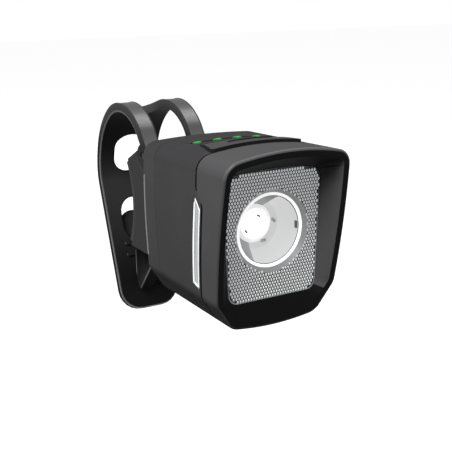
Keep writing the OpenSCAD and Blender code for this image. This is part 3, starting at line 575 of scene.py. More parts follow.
def turned(profile):
    """A closed mesh turned about the optic's axis from points of radius and depth."""
    made = bmesh.new()
    verts = [made.verts.new((r, y, OPTIC_Z)) for r, y in profile]
    edges = [made.edges.new(pair) for pair in zip(verts, verts[1:] + verts[:1])]
    bmesh.ops.spin(made, geom=verts + edges, cent=(0, 0, OPTIC_Z), axis=(0, 1, 0), dvec=(0, 0, 0),
                   angle=2 * math.pi, steps=TURN_STEPS, use_merge=True, use_duplicate=False)
    bmesh.ops.remove_doubles(made, verts=made.verts, dist=0.001)
    bmesh.ops.recalc_face_normals(made, faces=made.faces)
    return made


def in_lens(x, z):
    """True where a prism fits between the collar and the edge of the lens."""
    if math.hypot(x, z - OPTIC_Z) < COLLAR_R - PRISM_LAP:
        return False
    half, top, round_top = LENS_TOP
    foot_half, foot, round_foot = LENS_FOOT
    share = (top - z) / (top - foot)
    limit = half + (foot_half - half) * share - PRISM_EDGE - PRISM_R
    low, high = foot + PRISM_EDGE + PRISM_R, top + LENS_BOW * (1 - (x / half) ** 2) - PRISM_EDGE - PRISM_R
    if abs(x) > limit or z < low or z > high:
        return False
    corner = round_foot if z < OPTIC_Z else round_top
    end = low if z < OPTIC_Z else high
    out = max(0, abs(x) - limit + corner), max(0, corner - abs(z - end))
    return math.hypot(*out) < corner


bm = bmesh.new()
plate = lens_outline(bm, LENS_SEAT - LENS_PLAY, LENS_BACK)
face_plate = push(bm, [plate], (0, LENS_FACE - LENS_BACK, 0))[0]
bmesh.ops.inset_region(bm, faces=[face_plate], thickness=LENS_SEAT - LENS_PLAY, use_even_offset=True)
# Painted light: a narrow band round the lens face takes the pale brim finish.
paint(bmesh.ops.inset_region(bm, faces=[face_plate], thickness=LENS_BRIM, use_even_offset=True)["faces"], 1)
bm = combine(bm, rod(COLLAR_R, (0, LENS_Y - 2, OPTIC_Z), (0, LENS_BACK + 2, OPTIC_Z), TURN_STEPS), "DIFFERENCE")
# Clear polycarbonate over a dark inside: a smoky ground with a slight gloss.
lens_smoke = moulded("lens_smoke_polycarbonate", "1e1f20", "191a1b", 0.2, 0.5, 0.01, IOR=1.58, Specular_IOR_Level=0.2)
# Clear polycarbonate with painted light where it leads light to its edge: a thin pale frame.
lens_brim_painted_light = moulded("lens_brim_painted_light_polycarbonate", "9a9c9e", "8b8d8f", 0.3, 0.5, 0.01, IOR=1.58)
piece("lens_plate", bm, LAMP, [lens_smoke, lens_brim_painted_light], "lamp", ["front_lens"])

bm = bmesh.new()
rows = int((LENS_TOP[1] - LENS_FOOT[1] + LENS_BOW) / PRISM_ROW)
columns = int(2 * LENS_TOP[0] / PRISM_PITCH)
for row in range(rows + 1):
    for column in range(columns + 1):
        x = (column - columns / 2 + 0.5 * (row % 2)) * PRISM_PITCH
        z = LENS_FOOT[1] + PRISM_EDGE + PRISM_TALL * PRISM_R + row * PRISM_ROW
        if in_lens(x, z):
            spot = (Matrix.Translation((x, LENS_FACE - PRISM_H / 2, z)) @ Matrix.Diagonal((1, 1, PRISM_TALL, 1))
                    @ Matrix.Rotation(math.pi / 2, 4, "X"))
            bmesh.ops.create_cone(bm, cap_ends=True, segments=6, radius1=PRISM_R, radius2=PRISM_R * 0.5,
                                  depth=PRISM_H, matrix=spot)
# Moulded prisms with a painted glow for the light of the optic that they catch: bright grey points.
prism_glow = moulded("lens_prism_polycarbonate", "525451", "4a4c49", 0.25, 0.6, 0.01, IOR=1.58,
                     glow=0.5, glow_colour="e6e9eb")
piece("lens_prisms", bm, LAMP, [prism_glow], "lamp")

bm = turned(((RING_R + HAIR, RING_FRONT + COLLAR_DIP), (COLLAR_R, LENS_Y - COLLAR_PROUD), (COLLAR_R, LENS_BACK),
             (RING_R + HAIR, LENS_BACK)))
# Frosted polycarbonate, lit from inside by a painted glow against the hood's shade: an even mid grey ring without
# points.
collar_frost = moulded("collar_frosted_polycarbonate", "5e6063", "56585a", 0.4, 0.5, 0.01, glow=0.14, IOR=1.58,
                       Specular_IOR_Level=0.2)
piece("lens_collar", bm, LAMP, [collar_frost], "lamp", rounding=0.05)

# Optic.
# A white ring holds the bright-coated reflector cup, with a clear hub lens over the LED.
# The lamp is lit: ring and hub glow, and the cup throws the light forwards, with its reflections painted on.
RING_W = 0.68
CUP_BACK = 17.5
CUP_FLOOR_R = 4.8
CUP_WALL = 1
HUB_R = 3.7
HUB_FRONT = 13.1
CUP_R = RING_R - RING_W
bm = turned(((CUP_R, RING_FRONT), (RING_R, RING_FRONT), (RING_R, RING_BACK), (CUP_R, RING_BACK)))
# White polycarbonate, lit from behind: a clean ring, brighter than all round it.
ring_white = moulded("ring_white_polycarbonate", "f4f4f2", "ebebea", 0.3, 0.5, 0.01, IOR=1.58, glow=0.75)
piece("white_ring", bm, LAMP, [ring_white], "lamp", ["optic_ring"], rounding=0.2)

CUP_LIP = 0.22
CUP_PLAY = 0.02
LIP_DEEP = 0.1
CUP_STEPS = 8
CUP_SWEEP = 1.4
CUP_HOLE_R = 3.2
# Painted reflections in the cup: the dark hood's wedge between two angles, dimmer past a depth, its edges twisted.
SHADE_FROM, SHADE_TO = 70, 242
DEEP_Y = 15
WEDGE_TURN, WEDGE_MID = math.radians(14.5), math.radians(156)
KEY_TURN = math.radians(0.5)
KEY_SIZE = (0.5, 0.8, 1.8)
KEY_SINK, KEY_DEEP = 0.1, 0.5
curve = [(CUP_R - CUP_LIP + (CUP_FLOOR_R - CUP_R + CUP_LIP) * (i / CUP_STEPS) ** CUP_SWEEP,
          RING_BACK + (CUP_BACK - CUP_WALL - RING_BACK) * i / CUP_STEPS) for i in range(CUP_STEPS + 1)]
bm = turned([(CUP_FLOOR_R + CUP_WALL, CUP_BACK), (RING_R, LENS_BACK), (RING_R, RING_BACK + CUP_PLAY)] + curve
            + [(CUP_HOLE_R, CUP_BACK - CUP_WALL), (CUP_HOLE_R, CUP_BACK)])
# Painted reflections: each face takes the hood's wedge, the dim deep zone or the lip line by where it lies.
for face in bm.faces:
    middle = face.calc_center_median()
    if SHADE_FROM < math.degrees(math.atan2(middle.z - OPTIC_Z, middle.x)) % 360 < SHADE_TO:
        face.material_index = 1
    elif middle.y > DEEP_Y:
        face.material_index = 4
    if middle.y < RING_BACK + LIP_DEEP:
        face.material_index = 2
# The twist turns the faces round the axis, so that the edges of the painted wedge curve with depth.
for vert in bm.verts:
    share = min(max((vert.co.y - RING_BACK) / (CUP_BACK - CUP_WALL - RING_BACK), 0), 1)
    around = math.atan2(vert.co.z - OPTIC_Z, vert.co.x)
    twist = WEDGE_TURN * share * math.sin(around - WEDGE_MID)
    bmesh.ops.rotate(bm, verts=[vert], cent=(0, 0, OPTIC_Z), matrix=Matrix.Rotation(-twist, 3, "Y"))
key = bmesh.ops.create_cube(bm, size=1, matrix=Matrix.Diagonal((*KEY_SIZE, 1)))["verts"]
bmesh.ops.translate(bm, verts=key, vec=(CUP_R - CUP_LIP - KEY_SINK, RING_BACK + KEY_DEEP, OPTIC_Z))
bmesh.ops.rotate(bm, verts=key, cent=(0, 0, OPTIC_Z), matrix=Matrix.Rotation(-KEY_TURN, 3, "Y"))
paint({face for vert in key for face in vert.link_faces}, 3)
# Aluminised cup with a painted reflection of the lit hub, partly a glow: an even pale grey.
bowl_painted_hub_reflection = moulded("reflector_painted_hub_reflection", "5a5b5c", "565758", 0.45, 1.5, 0.01, Specular_IOR_Level=0.2,
                      glow=0.56)
# Painted reflection of the dark hood on the coat: a plain mid grey wedge.
bowl_painted_hood_reflection = moulded("reflector_painted_hood_reflection", "bcbdbe", "b6b7b9", 0.45, 1.5, 0.01, Specular_IOR_Level=0.2)
# The cup's lip: a thin darker line inside the ring, set apart from the painted reflections.
bowl_lip = moulded("reflector_lip_polycarbonate", "8a8b8c", "828384", 0.45, 1.5, 0.01, Specular_IOR_Level=0.2)
# ABS key at the lip: a small dark block.
bowl_key = moulded("reflector_key_abs", "626364", "5b5c5d", 0.5, 0.3, 0.01, Specular_IOR_Level=0.2)
# Painted reflection low in the cup, a little dimmer: a faint darker ring round the hub.
bowl_painted_dim_reflection = moulded("reflector_painted_dim_reflection", "5a5b5c", "565758", 0.45, 1.5, 0.01, Specular_IOR_Level=0.2,
                    glow=0.5)
piece("reflector_cup", bm, LAMP, [bowl_painted_hub_reflection, bowl_painted_hood_reflection, bowl_lip, bowl_key, bowl_painted_dim_reflection], "lamp",
      ["reflector"], rounding=0.04)

HUB_FLANGE_R = 4.75
HUB_FLANGE_T = 0.5
HUB_DOME = ((0, 0), (0.27, 0.1), (0.52, 0.35), (0.72, 0.8), (0.88, 1.4), (0.97, 2.1), (1, 2.6))  # radius share, depth
HUB_FOOT_T = 0.4
# Place, turn in degrees and width of each foot.
HUB_FEET = ((-0.1, 13.65, 2.4, -25, 0.9), (-3.1, 14.45, -1.2, -50, 0.9), (4.9, 15.1, 0.4, -40, 1.5),
            (2.2, 15.3, -4.3, 0, 1.5))
hub_seat = CUP_BACK - CUP_WALL
hub_profile = [(share * HUB_R, HUB_FRONT + deep) for share, deep in HUB_DOME]
bm = turned(hub_profile + [(HUB_FLANGE_R, hub_seat - HUB_FLANGE_T), (HUB_FLANGE_R, hub_seat), (0, hub_seat)])
for x, y, z, turn, wide in HUB_FEET:
    foot = bmesh.ops.create_cube(bm, size=1, matrix=Matrix.Diagonal((wide, HUB_FOOT_T, 0.5 * wide, 1)))["verts"]
    bmesh.ops.rotate(bm, verts=foot, matrix=Matrix.Rotation(math.radians(-turn), 3, "Y"))
    bmesh.ops.translate(bm, verts=foot, vec=(x, y, OPTIC_Z + z))
    paint({face for vert in foot for face in vert.link_faces}, 1)
for face in bm.faces:
    middle = face.calc_center_median()
    if middle.y > hub_profile[-1][1] and face.material_index == 0:
        face.material_index = 2
# Silicone flange, lit through: a pale rim round the white hub.
hub_flange = moulded("hub_flange_silicone", "d6d7d8", "cdcecf", 0.3, 0.8, 0.01, IOR=1.41, Specular_IOR_Level=0.2,
                     glow=0.55)
# Clear silicone over the LED: so bright that it is plain white.
hub_glow = moulded("hub_lit_silicone", "ffffff", "f4f6f8", 0.2, 0.8, 0.01, IOR=1.41, glow=1.2)
# Silicone feet against the light: small grey marks.
hub_feet = moulded("hub_foot_silicone", "c8c9ca", "bebfc0", 0.4, 0.4, 0.01, IOR=1.41, Specular_IOR_Level=0.2)
piece("hub_lens", bm, LAMP, [hub_glow, hub_feet, hub_flange], "lamp", ["led_hub"], rounding=0.1)

# Side windows.
# Clear strips that spill light to the sides: a bright edge all round and a frosted middle.
# Each is pressed into its slot from inside and lies just under the housing's face.
WINDOW_EDGE = 0.42
WINDOW_LAP = 0.2
FROST_DEEP = 0.15


def flank(z):
    """Half width of the swelling sides at a height."""
    share = z / HIP_Z
    return HALF_W + SIDE_BOW * 4 * share * (1 - share)


# Polycarbonate edge with a painted glow for the light it spills: a white line all round the strip.
window_bright = moulded("window_clear_polycarbonate", "f2f3f4", "e6e8e9", 0.25, 0.5, 0.01, IOR=1.58, glow=0.15)
# Frosted polycarbonate middle: a soft, even grey.
window_frost = moulded("window_frosted_polycarbonate", "a9abad", "999b9d", 0.45, 0.5, 0.01, IOR=1.58)
for side, label in ((-1, "left"), (1, "right")):
    bm = bmesh.new()
    face = outline(bm, window_side(0), SIDE, side * (HALF_W - WALL + WINDOW_LAP))
    outer = push(bm, [face], (side * WALL, 0, 0))[0]
    for vert in outer.verts:
        vert.co.x = side * (flank(vert.co.z) - WINDOW_PLAY)
    bmesh.ops.inset_region(bm, faces=[outer], thickness=WINDOW_EDGE, use_even_offset=True)
    outer.material_index = 1
    push(bm, [outer], (-side * FROST_DEEP, 0, 0))
    piece("window_" + label, bm, LAMP, [window_bright, window_frost], "lamp",
          ["side_window_" + label], rounding=0.06)

# Power button.
# A rubbery plate that stands proud of the top, with one raised line for the finger.
# It travels straight down, and its stem pushes the switch on the board.
BUTTON_RISE = 0.75
BUTTON_REAR_RISE = -0.1
BUTTON_FLOOR = -1.4
BUTTON_LEVEL = 0.01
BUTTON_ROWS = 6
LINE_FRONT = 17.1
LINE_REAR = 17.5
LINE_HALF = 6
LINE_RISE = 0.3
LINE_DEEP = 0.5


def button_top(x, y):
    """Height of the button's top, which sinks into the roof towards its rear."""
    share = ((y - BUTTON_FRONT) / (BUTTON_REAR - BUTTON_FRONT)) ** 3
    return roof(x) + BUTTON_RISE + (BUTTON_REAR_RISE - BUTTON_RISE) * share


bm = sliced(prism(button_plan(0), PLAN, BUTTON_FLOOR, BUTTON_LEVEL))
for row in range(1, BUTTON_ROWS):
    split(bm, (0, 1, 0), BUTTON_FRONT + (BUTTON_REAR - BUTTON_FRONT) * row / BUTTON_ROWS)
# Painted shade: the faces that do not face up take the dark finish.
for face in bm.faces:
    face.material_index = 0 if face.normal.z > 0.5 else 1
for vert in bm.verts:
    if vert.co.z > 0:
        vert.co.z = button_top(vert.co.x, vert.co.y)
line = sliced(prism(oblong(LINE_HALF, LINE_FRONT, LINE_REAR, 0), PLAN, -LINE_DEEP, LINE_RISE))
for vert in line.verts:
    vert.co.z += button_top(vert.co.x, LINE_FRONT)
# Painted shade on the whole raised line.
paint(line.faces, 1)
bm = combine(bm, line, "UNION")
settle(bm)
# Soft elastomer: matt charcoal, much as the roof round it.
button_touch = moulded("button_soft_touch_tpe", "404041", "3a3a3b", 0.85, 0.25, 0.02, IOR=1.5,
                       Specular_IOR_Level=0.01)
# Painted shade on the skirt and the raised line: the elastomer drawn dark, an outline round the button.
button_painted_shade = moulded("button_painted_shade_tpe", "202021", "1b1b1c", 0.7, 0.25, 0.02, IOR=1.5, Specular_IOR_Level=0.03)
piece("top_button", bm, LAMP, [button_touch, button_painted_shade], "button", ["power_button"], rounding=0.08)

# Indicators.
# Four green light pipes stand in the groove behind the button, one over each LED on the board.
# Their tops are pills that follow the arch of the housing.
PIPE_PROUD = 0.2
PIPE_FOOT = -5.6
PIPE_GLOW = 1.3
PIPE_BRIGHT, PIPE_DIM = 0.45, 0.02
PIPE_PLAY = 0.1
# Green acrylic, lit from below: a bright middle that fades to deep green at the ends.
pipe_green, tree, shader, spot = start_material("pipe_green_acrylic", Roughness=0.45, IOR=1.49,
                                                Specular_IOR_Level=0.1, Emission_Color=linear("18b030"))
across = add(tree, "SeparateXYZ", {"Vector": spot}).outputs["X"]
from_first = add(tree, "Math", {0: across, 1: PIPE_X[0] * MM}, operation="SUBTRACT").outputs[0]
from_middle = add(tree, "Math", {0: from_first, 1: (PIPE_X[1] - PIPE_X[0]) / 2 * MM},
                  operation="PINGPONG").outputs[0]
lit = add(tree, "MapRange", {"Value": from_middle, "From Min": 0, "From Max": PIPE_GLOW * MM,
                             "To Min": PIPE_BRIGHT, "To Max": PIPE_DIM},
          interpolation_type="SMOOTHSTEP").outputs["Result"]
tone = add(tree, "Mix", {0: lit, 6: linear("0d5218"), 7: linear("177a28")}, data_type="RGBA")
tree.links.new(tone.outputs[2], shader.inputs["Base Color"])
tree.links.new(lit, shader.inputs["Emission Strength"])
bm = bmesh.new()
for x in PIPE_X:
    start = outline(bm, pipe_plan(x, PIPE_PLAY), PLAN, PIPE_FOOT)
    for vert in push(bm, [start], (0, 0, 1))[0].verts:
        vert.co.z = roof(vert.co.x) + PIPE_PROUD
settle(bm)
piece("indicator_pipes", bm, LAMP, [pipe_green], "lamp", ["indicator_lenses"], rounding=0.35)

# Port cover.
# A thin rubber flap under the body that hinges on a steel pin over the charging socket.
# Two knuckles at its front edge turn on the pin, and a notch at the rear takes a fingernail.
COVER_AXIS_Y = 21.7
COVER_AXIS_Z = -40.25
KNUCKLE_R = 0.75
KNUCKLE_LEN = 4
NOTCH_HALF, NOTCH_FLOOR, NOTCH_DEEP = 2, 1.4, 0.6
bm = prism(((-COVER_HALF, COVER_AXIS_Y, 0.1), (COVER_HALF, COVER_AXIS_Y, 0.1), (COVER_HALF, COVER_REAR, 1),
            (NOTCH_HALF, COVER_REAR, 0.3), (NOTCH_FLOOR, COVER_REAR - NOTCH_DEEP, 0.3),
            (-NOTCH_FLOOR, COVER_REAR - NOTCH_DEEP, 0.3), (-NOTCH_HALF, COVER_REAR, 0.3),
            (-COVER_HALF, COVER_REAR, 1)), PLAN, COVER_Z, COVER_Z + COVER_T)
for side in (-1, 1):
    bm = combine(bm, rod(KNUCKLE_R, (side * (COVER_HALF - KNUCKLE_LEN), COVER_AXIS_Y, COVER_AXIS_Z),
                         (side * COVER_HALF, COVER_AXIS_Y, COVER_AXIS_Z), 24), "UNION")
# Moulded rubber: dull black with a faint sheen.
cover_rubber = moulded("cover_black_rubber", "232425", "1d1e1f", 0.62, 0.3, 0.02, IOR=1.5, Specular_IOR_Level=0.3)
piece("port_flap", bm, LAMP, [cover_rubber], "cover", ["port_cover"], rounding=0.1)

# Bracket.
# Neck, saddle and hook in one glass-filled nylon moulding, screwed to the cap from inside.
# It is drawn round the axis of the handlebar. The lug in its middle carries the strap's pin.
BAR = Matrix.Scale(MM, 4)
SADDLE_Y = -15.9
CAP_REAR_Y = -39.4
BRACKET_HALF = 9.7
PIN_Y = -24.1
PIN_Z = 14.7
PIN_R = 1.2
EYE_R = 3.2
HORN_Y = -12
HORN_TOP = 12.6
HORN_FOOT = -12.2
BLOCK_TOP = 8.9
BLOCK_FOOT = -13.2
SADDLE_R = 22
PAD_T = 1.5
LUG_HALF = 4.55
HOOK_HALF = 4.1
HOOK_FOOT = -30.2
HOOK_Y = -3.1
HOOK_SHINE = 0.75
HOOK_ROUND = 0.35
BEYOND = 20  # past the widest piece
# Corners seen from the side: y, z and radius.
BLOCK = ((CAP_REAR_Y, BLOCK_TOP, 0), (PIN_Y - EYE_R - 1, BLOCK_TOP, 1.5), (PIN_Y, PIN_Z - EYE_R + 0.6, 0),
         (PIN_Y + EYE_R, PIN_Z + 1.3, 0.8), (SADDLE_Y + 2, HORN_TOP, 0.6), (HORN_Y, HORN_TOP - 0.6, 0),
         (HORN_Y, HORN_FOOT, 0), (HORN_Y - 1, BLOCK_FOOT, 0.4), (CAP_REAR_Y, BLOCK_FOOT, 0))
HOOK = ((SADDLE_Y - 6.5, BLOCK_FOOT + 2, 0.7), (SADDLE_Y + 2, -21, 0.7), (HOOK_Y - 2.6, HOOK_FOOT, 0.7),
        (HOOK_Y - 1.04, HOOK_FOOT + 1.56, 0.7), (HOOK_Y, HOOK_FOOT + 5.2, 0.7), (HOOK_Y, -18.1, 0.7),
        (HOOK_Y - 2.6, -14.9, 0.7), (SADDLE_Y + 4, BLOCK_FOOT + 0.6, 0.4))
LUG = ((PIN_Y - EYE_R + 0.4, PIN_Z, 0), (PIN_Y + EYE_R - 0.4, PIN_Z, 0), (PIN_Y + EYE_R + 2, BLOCK_TOP, 0),
       (PIN_Y - EYE_R - 2, BLOCK_TOP, 0))
bm = prism(BLOCK, SIDE, -BRACKET_HALF, BRACKET_HALF)
for side in (-1, 1):
    bm = combine(bm, rod(EYE_R + RUN_GAP, (side * LUG_HALF, PIN_Y, PIN_Z), (side * BEYOND, PIN_Y, PIN_Z)),
                 "DIFFERENCE")
saddle_axis = SADDLE_Y + SADDLE_R
bm = combine(bm, rod(SADDLE_R + PAD_T, (-BEYOND, saddle_axis, 0), (BEYOND, saddle_axis, 0), 128), "DIFFERENCE")
bm = combine(bm, prism(LUG, SIDE, -LUG_HALF, LUG_HALF), "UNION")
bm = combine(bm, rod(EYE_R - 0.4, (-LUG_HALF, PIN_Y, PIN_Z), (LUG_HALF, PIN_Y, PIN_Z)), "UNION")
hook = prism(HOOK, SIDE, -HOOK_HALF, HOOK_HALF)
# Painted shadow: the whole hook takes the nearly black finish first.
paint(hook.faces, 2)
# Painted highlight: the hook's rounded edges, and its flanks near the rear, take the pale finish.
hook_edges = [edge for edge in hook.edges if edge.calc_face_angle(0) > 1]
paint(bmesh.ops.bevel(hook, geom=hook_edges, offset=HOOK_ROUND, affect="EDGES", segments=2, profile=0.5,
                      material=-1)["faces"], 1)
split(hook, (0, 1, 0), HOOK_Y - HOOK_SHINE)
for face in hook.faces:
    if abs(face.normal.x) > 0.9 and face.calc_center_median().y > HOOK_Y - HOOK_SHINE:
        face.material_index = 1
bm = combine(bm, hook, "UNION")
bm = combine(bm, rod(PIN_R, (-BEYOND, PIN_Y, PIN_Z), (BEYOND, PIN_Y, PIN_Z), 32), "DIFFERENCE")
# Glass-filled nylon: dry dark grey without a highlight.
bracket_nylon = moulded("bracket_filled_nylon", "3a3a3b", "353536", 0.8, 0.35, 0.02, IOR=1.53,
                        Specular_IOR_Level=0.01)
# Painted highlight on the nylon: pale, glossier lines along the hook's edges.
hook_painted_highlight = moulded("hook_painted_highlight_nylon", "6a6a6b", "626263", 0.4, 0.3, 0.01, IOR=1.53, Specular_IOR_Level=0.3)
# Painted shadow on the hook's nylon: nearly black under the neck.
hook_painted_shadow = moulded("hook_painted_shadow_nylon", "1f1f20", "1a1a1b", 0.8, 0.35, 0.02, IOR=1.53, Specular_IOR_Level=0.02)
piece("neck_bracket", bm, BAR, [bracket_nylon, hook_painted_highlight, hook_painted_shadow], "lamp", ["mount_bracket"],
      rounding=0.3)

# Saddle pad.
# A plain strip of soft rubber, bent to the curve of the saddle.
# It is glued in, and it keeps the bracket from slipping round the bar.
PAD_SPAN = 62
PAD_HALF = 9.5
PAD_STEPS = 26
bm = bmesh.new()
inner, outer = saddle_axis - SADDLE_R, saddle_axis - SADDLE_R - PAD_T
start = bm.faces.new([bm.verts.new((x, y, 0)) for x, y, corner in oblong(PAD_HALF, inner, outer, 0)])
bmesh.ops.rotate(bm, verts=start.verts, cent=(0, saddle_axis, 0),
                 matrix=Matrix.Rotation(math.radians(-PAD_SPAN / 2), 3, "X"))
bmesh.ops.spin(bm, geom=[start] + start.edges[:] + start.verts[:], cent=(0, saddle_axis, 0), axis=(1, 0, 0),
               dvec=(0, 0, 0), angle=math.radians(PAD_SPAN), steps=PAD_STEPS, use_merge=False,
               use_duplicate=False)
# Soft rubber: matt black.
pad_rubber = moulded("pad_soft_rubber", "1b1b1c", "161617", 0.7, 0.3, 0.03, IOR=1.5, Specular_IOR_Level=0.25)
piece("bar_pad", bm, BAR, [pad_rubber], "lamp", ["saddle_pad"], rounding=0.15)

# Strap.
# One moulding of silicone rubber: two arms with eyes on the steel pin, a crown over the bar,
# a tail with two holes for the hook, grip ribs inside, a finger lug behind and a round tab.
STRAP_HALF = 9.7
STRAP_T = 2.6
STRAP_ROUND = 0.45
ARM_HALF = 4.85
ARM_HEADING = 55
ARM_RISE = 6
STRAP_TURNS = ((10, 10), (17.5, 78), (24, 54), (14, 22))
BEND_STEP = 3
TAIL_LEN = 40.6
TAIL_HEADING = -109
TAB_R = 6.5
SLOT_END = 31.5
HOLE_HALF = 4.8
HOLE_RUNS = ((42.3, 56.3), (65, 78.3))
FINGER_AT = 21
FINGER_LEN = 12.4
FINGER_T = 2.2
FINGER_HALF = 4.6
FINGER_HEADING = 59
FINGER_ROOT = 4
FINGER_SINK = 1.2
FINGER_ROUND = 0.4
RIB_RUNS = (23.3, 19.8)
RIB_HALF = 5.4
RIB_W = 0.9
RIB_H = 0.4
RIB_ROOT = 0.5
RIB_CORNER = 0.3
EDGE_BAND = 0.8
FULL_ROUND = 0.01  # what a half circle leaves straight
# Heights between which its painted light and shade and its gloss change.
PAINTED_LIGHT_FOOT, PAINTED_LIGHT_MIDDLE, PAINTED_LIGHT_TOP = -30, -1, 22
CROWN_LOW, CROWN_HIGH = 24.8, 27
SIDE_LOW, SIDE_HIGH = 12, 24
HIGHLIGHT_FADE_LOW, HIGHLIGHT_FADE_HIGH = 8, 22


def heading(degrees):
    """Unit vector in the side view at an angle above the rear."""
    return Vector((0, math.cos(math.radians(degrees)), math.sin(math.radians(degrees))))


def inward(degrees):
    """Unit vector across the strap, from its outside to its inside."""
    return heading(degrees - 90)


def strap_at(run):
    """Point on the strap's outside, and its heading there, at a length from the eyes."""
    course = ARM_HEADING
    spot = Vector((0, PIN_Y, PIN_Z)) - EYE_R * inward(course) + min(run, ARM_RISE) * heading(course)
    run -= ARM_RISE
    for radius, turn in STRAP_TURNS:
        part = min(max(run / math.radians(radius), 0), turn)
        spot += radius * (inward(course) - inward(course - part))
        course -= part
        run -= radius * math.radians(turn)
    return spot + max(run, 0) * heading(course), course


# The strap is drawn flat, its edges are rounded, and then it is bent over the bar.
tail_run = ARM_RISE + sum(radius * math.radians(turn) for radius, turn in STRAP_TURNS)
tail_end = tail_run + TAIL_LEN
bm = bmesh.new()
border = opened(bm, outline(bm, ((-STRAP_HALF, 0, 0), (-ARM_HALF, 0, 0), (-ARM_HALF, SLOT_END, ARM_HALF - FULL_ROUND),
                                 (ARM_HALF, SLOT_END, ARM_HALF - FULL_ROUND), (ARM_HALF, 0, 0), (STRAP_HALF, 0, 0),
                                 (STRAP_HALF, tail_end, TAB_R), (-STRAP_HALF, tail_end, TAB_R)), PLAN, 0, tail_end))
for low, high in HOLE_RUNS:
    border += opened(bm, outline(bm, oblong(HOLE_HALF, low, high, HOLE_HALF - FULL_ROUND), PLAN, 0, tail_end))
bmesh.ops.triangle_fill(bm, use_beauty=True, edges=border, normal=(0, 0, 1))
sheet = bm.faces[:]
# Two narrow insets round the edge: the border sinks most, and the loop inside it a little.
for share in (0.3, 0.7):
    loop = {vert for edge in bm.edges if edge.is_boundary for vert in edge.verts} if share < 0.5 else {
        vert for face in sheet for vert in face.verts if any(other not in sheet for other in vert.link_faces)}
    bmesh.ops.inset_region(bm, faces=sheet, thickness=share * STRAP_ROUND, use_even_offset=True, use_boundary=True)
    for vert in loop:
        vert.co.z = STRAP_ROUND if share < 0.5 else 0.3 * STRAP_ROUND
for vert in {vert for face in push(bm, bm.faces[:], (0, 0, STRAP_T)) for vert in face.verts}:
    vert.co.z = 2 * STRAP_T - vert.co.z
bmesh.ops.recalc_face_normals(bm, faces=bm.faces)
for face in bm.faces:
    middle = face.calc_center_median()
    if face.normal.z > 0.95:
        face.material_index = 1
    # Painted highlight on the inner rounding along the edges and round the tab.
    elif face.normal.z > 0.05 and (abs(middle.x) > STRAP_HALF - EDGE_BAND or middle.y > tail_end - TAB_R):
        face.material_index = 2
    # Painted shade on the narrow sides and the other roundings.
    elif face.normal.z > -0.95:
        face.material_index = 3
run = ARM_RISE
for radius, turn in STRAP_TURNS:
    steps = math.ceil(turn / BEND_STEP)
    for i in range(steps):
        split(bm, (0, 1, 0), run + radius * math.radians(turn) * i / steps)
    run += radius * math.radians(turn)
split(bm, (0, 1, 0), run)
for vert in bm.verts:
    spot, course = strap_at(vert.co.y)
    vert.co = spot + Vector((vert.co.x, 0, 0)) + vert.co.z * inward(course)
finger = prism(oblong(FINGER_HALF, -FINGER_ROOT, FINGER_LEN, 0, far_corner=FINGER_HALF - HAIR), PLAN, -FINGER_T, 0)
finger_edges = [edge for edge in finger.edges if edge.calc_face_angle(0) > 1]
bmesh.ops.bevel(finger, geom=finger_edges, offset=FINGER_ROUND, affect="EDGES", segments=3, profile=0.5, material=-1)
finger.transform(Matrix.Translation(strap_at(tail_run + FINGER_AT)[0] - Vector((0, FINGER_SINK, 0)))
                 @ Matrix.Rotation(math.radians(FINGER_HEADING), 4, "X"))
strap_tools = [finger]
for side in (-1, 1):
    strap_tools.append(rod(EYE_R, (side * STRAP_HALF, PIN_Y, PIN_Z), (side * ARM_HALF, PIN_Y, PIN_Z)))
# Painted shade: the finger lug and the eyes take the darker inside finish.
for tool in strap_tools:
    paint(tool.faces, 1)
for run in RIB_RUNS:
    rib = prism(oblong(RIB_HALF, -RIB_W / 2, RIB_W / 2, RIB_CORNER), PLAN, -RIB_H, RIB_ROOT)
    # Painted highlight on the ribs' ends.
    for face in rib.faces:
        face.material_index = 2 if abs(face.normal.x) > 0.3 else 1
    rib.transform(Matrix.Translation(strap_at(tail_run + run)[0] + STRAP_T * inward(TAIL_HEADING))
                  @ Matrix.Rotation(math.radians(TAIL_HEADING), 4, "X"))
    strap_tools.append(rib)
for tool in strap_tools:
    bm = combine(bm, tool, "UNION")
bm = combine(bm, rod(PIN_R + HAIR, (-BEYOND, PIN_Y, PIN_Z), (BEYOND, PIN_Y, PIN_Z), 32), "DIFFERENCE")
# Silicone from a polished mould: near black with a broad soft highlight, dull over the crown.
strap_silicone = moulded("strap_glossy_silicone", "232324", "1e1e1f", 0.38, 0.4, 0.005, IOR=1.43,
                         Specular_IOR_Level=0.9)
# Matt silicone inside, with painted light and shade: black under the crown, painted grey where it lies on the bar.
strap_inside = moulded("strap_inside_silicone", "080809", "060607", 0.6, 0.4, 0.02, IOR=1.43, Specular_IOR_Level=0.1)
tone_to(strap_inside, "272728", PAINTED_LIGHT_FOOT, PAINTED_LIGHT_MIDDLE)
tone_to(strap_inside, "060607", PAINTED_LIGHT_MIDDLE, PAINTED_LIGHT_TOP)
tree = strap_silicone.node_tree
shader = tree.nodes["Principled BSDF"]
height = add(tree, "SeparateXYZ", {"Vector": add(tree, "TexCoord").outputs["Object"]}).outputs["Z"]
matt = add(tree, "MapRange", {"Value": height, "From Min": CROWN_LOW * MM, "From Max": CROWN_HIGH * MM,
                              "To Min": 0.2, "To Max": 0.85})
rough = add(tree, "Math", {0: matt.outputs["Result"], 1: shader.inputs["Roughness"].links[0].from_socket},
            operation="MAXIMUM")
tree.links.new(rough.outputs[0], shader.inputs["Roughness"])
# Painted highlight along the tail's edge: a fine pale line that fades towards the crown.
strap_painted_highlight = moulded("strap_painted_highlight_silicone", "5e5e5f", "565657", 0.4, 0.4, 0.01, IOR=1.43, Specular_IOR_Level=0.3)
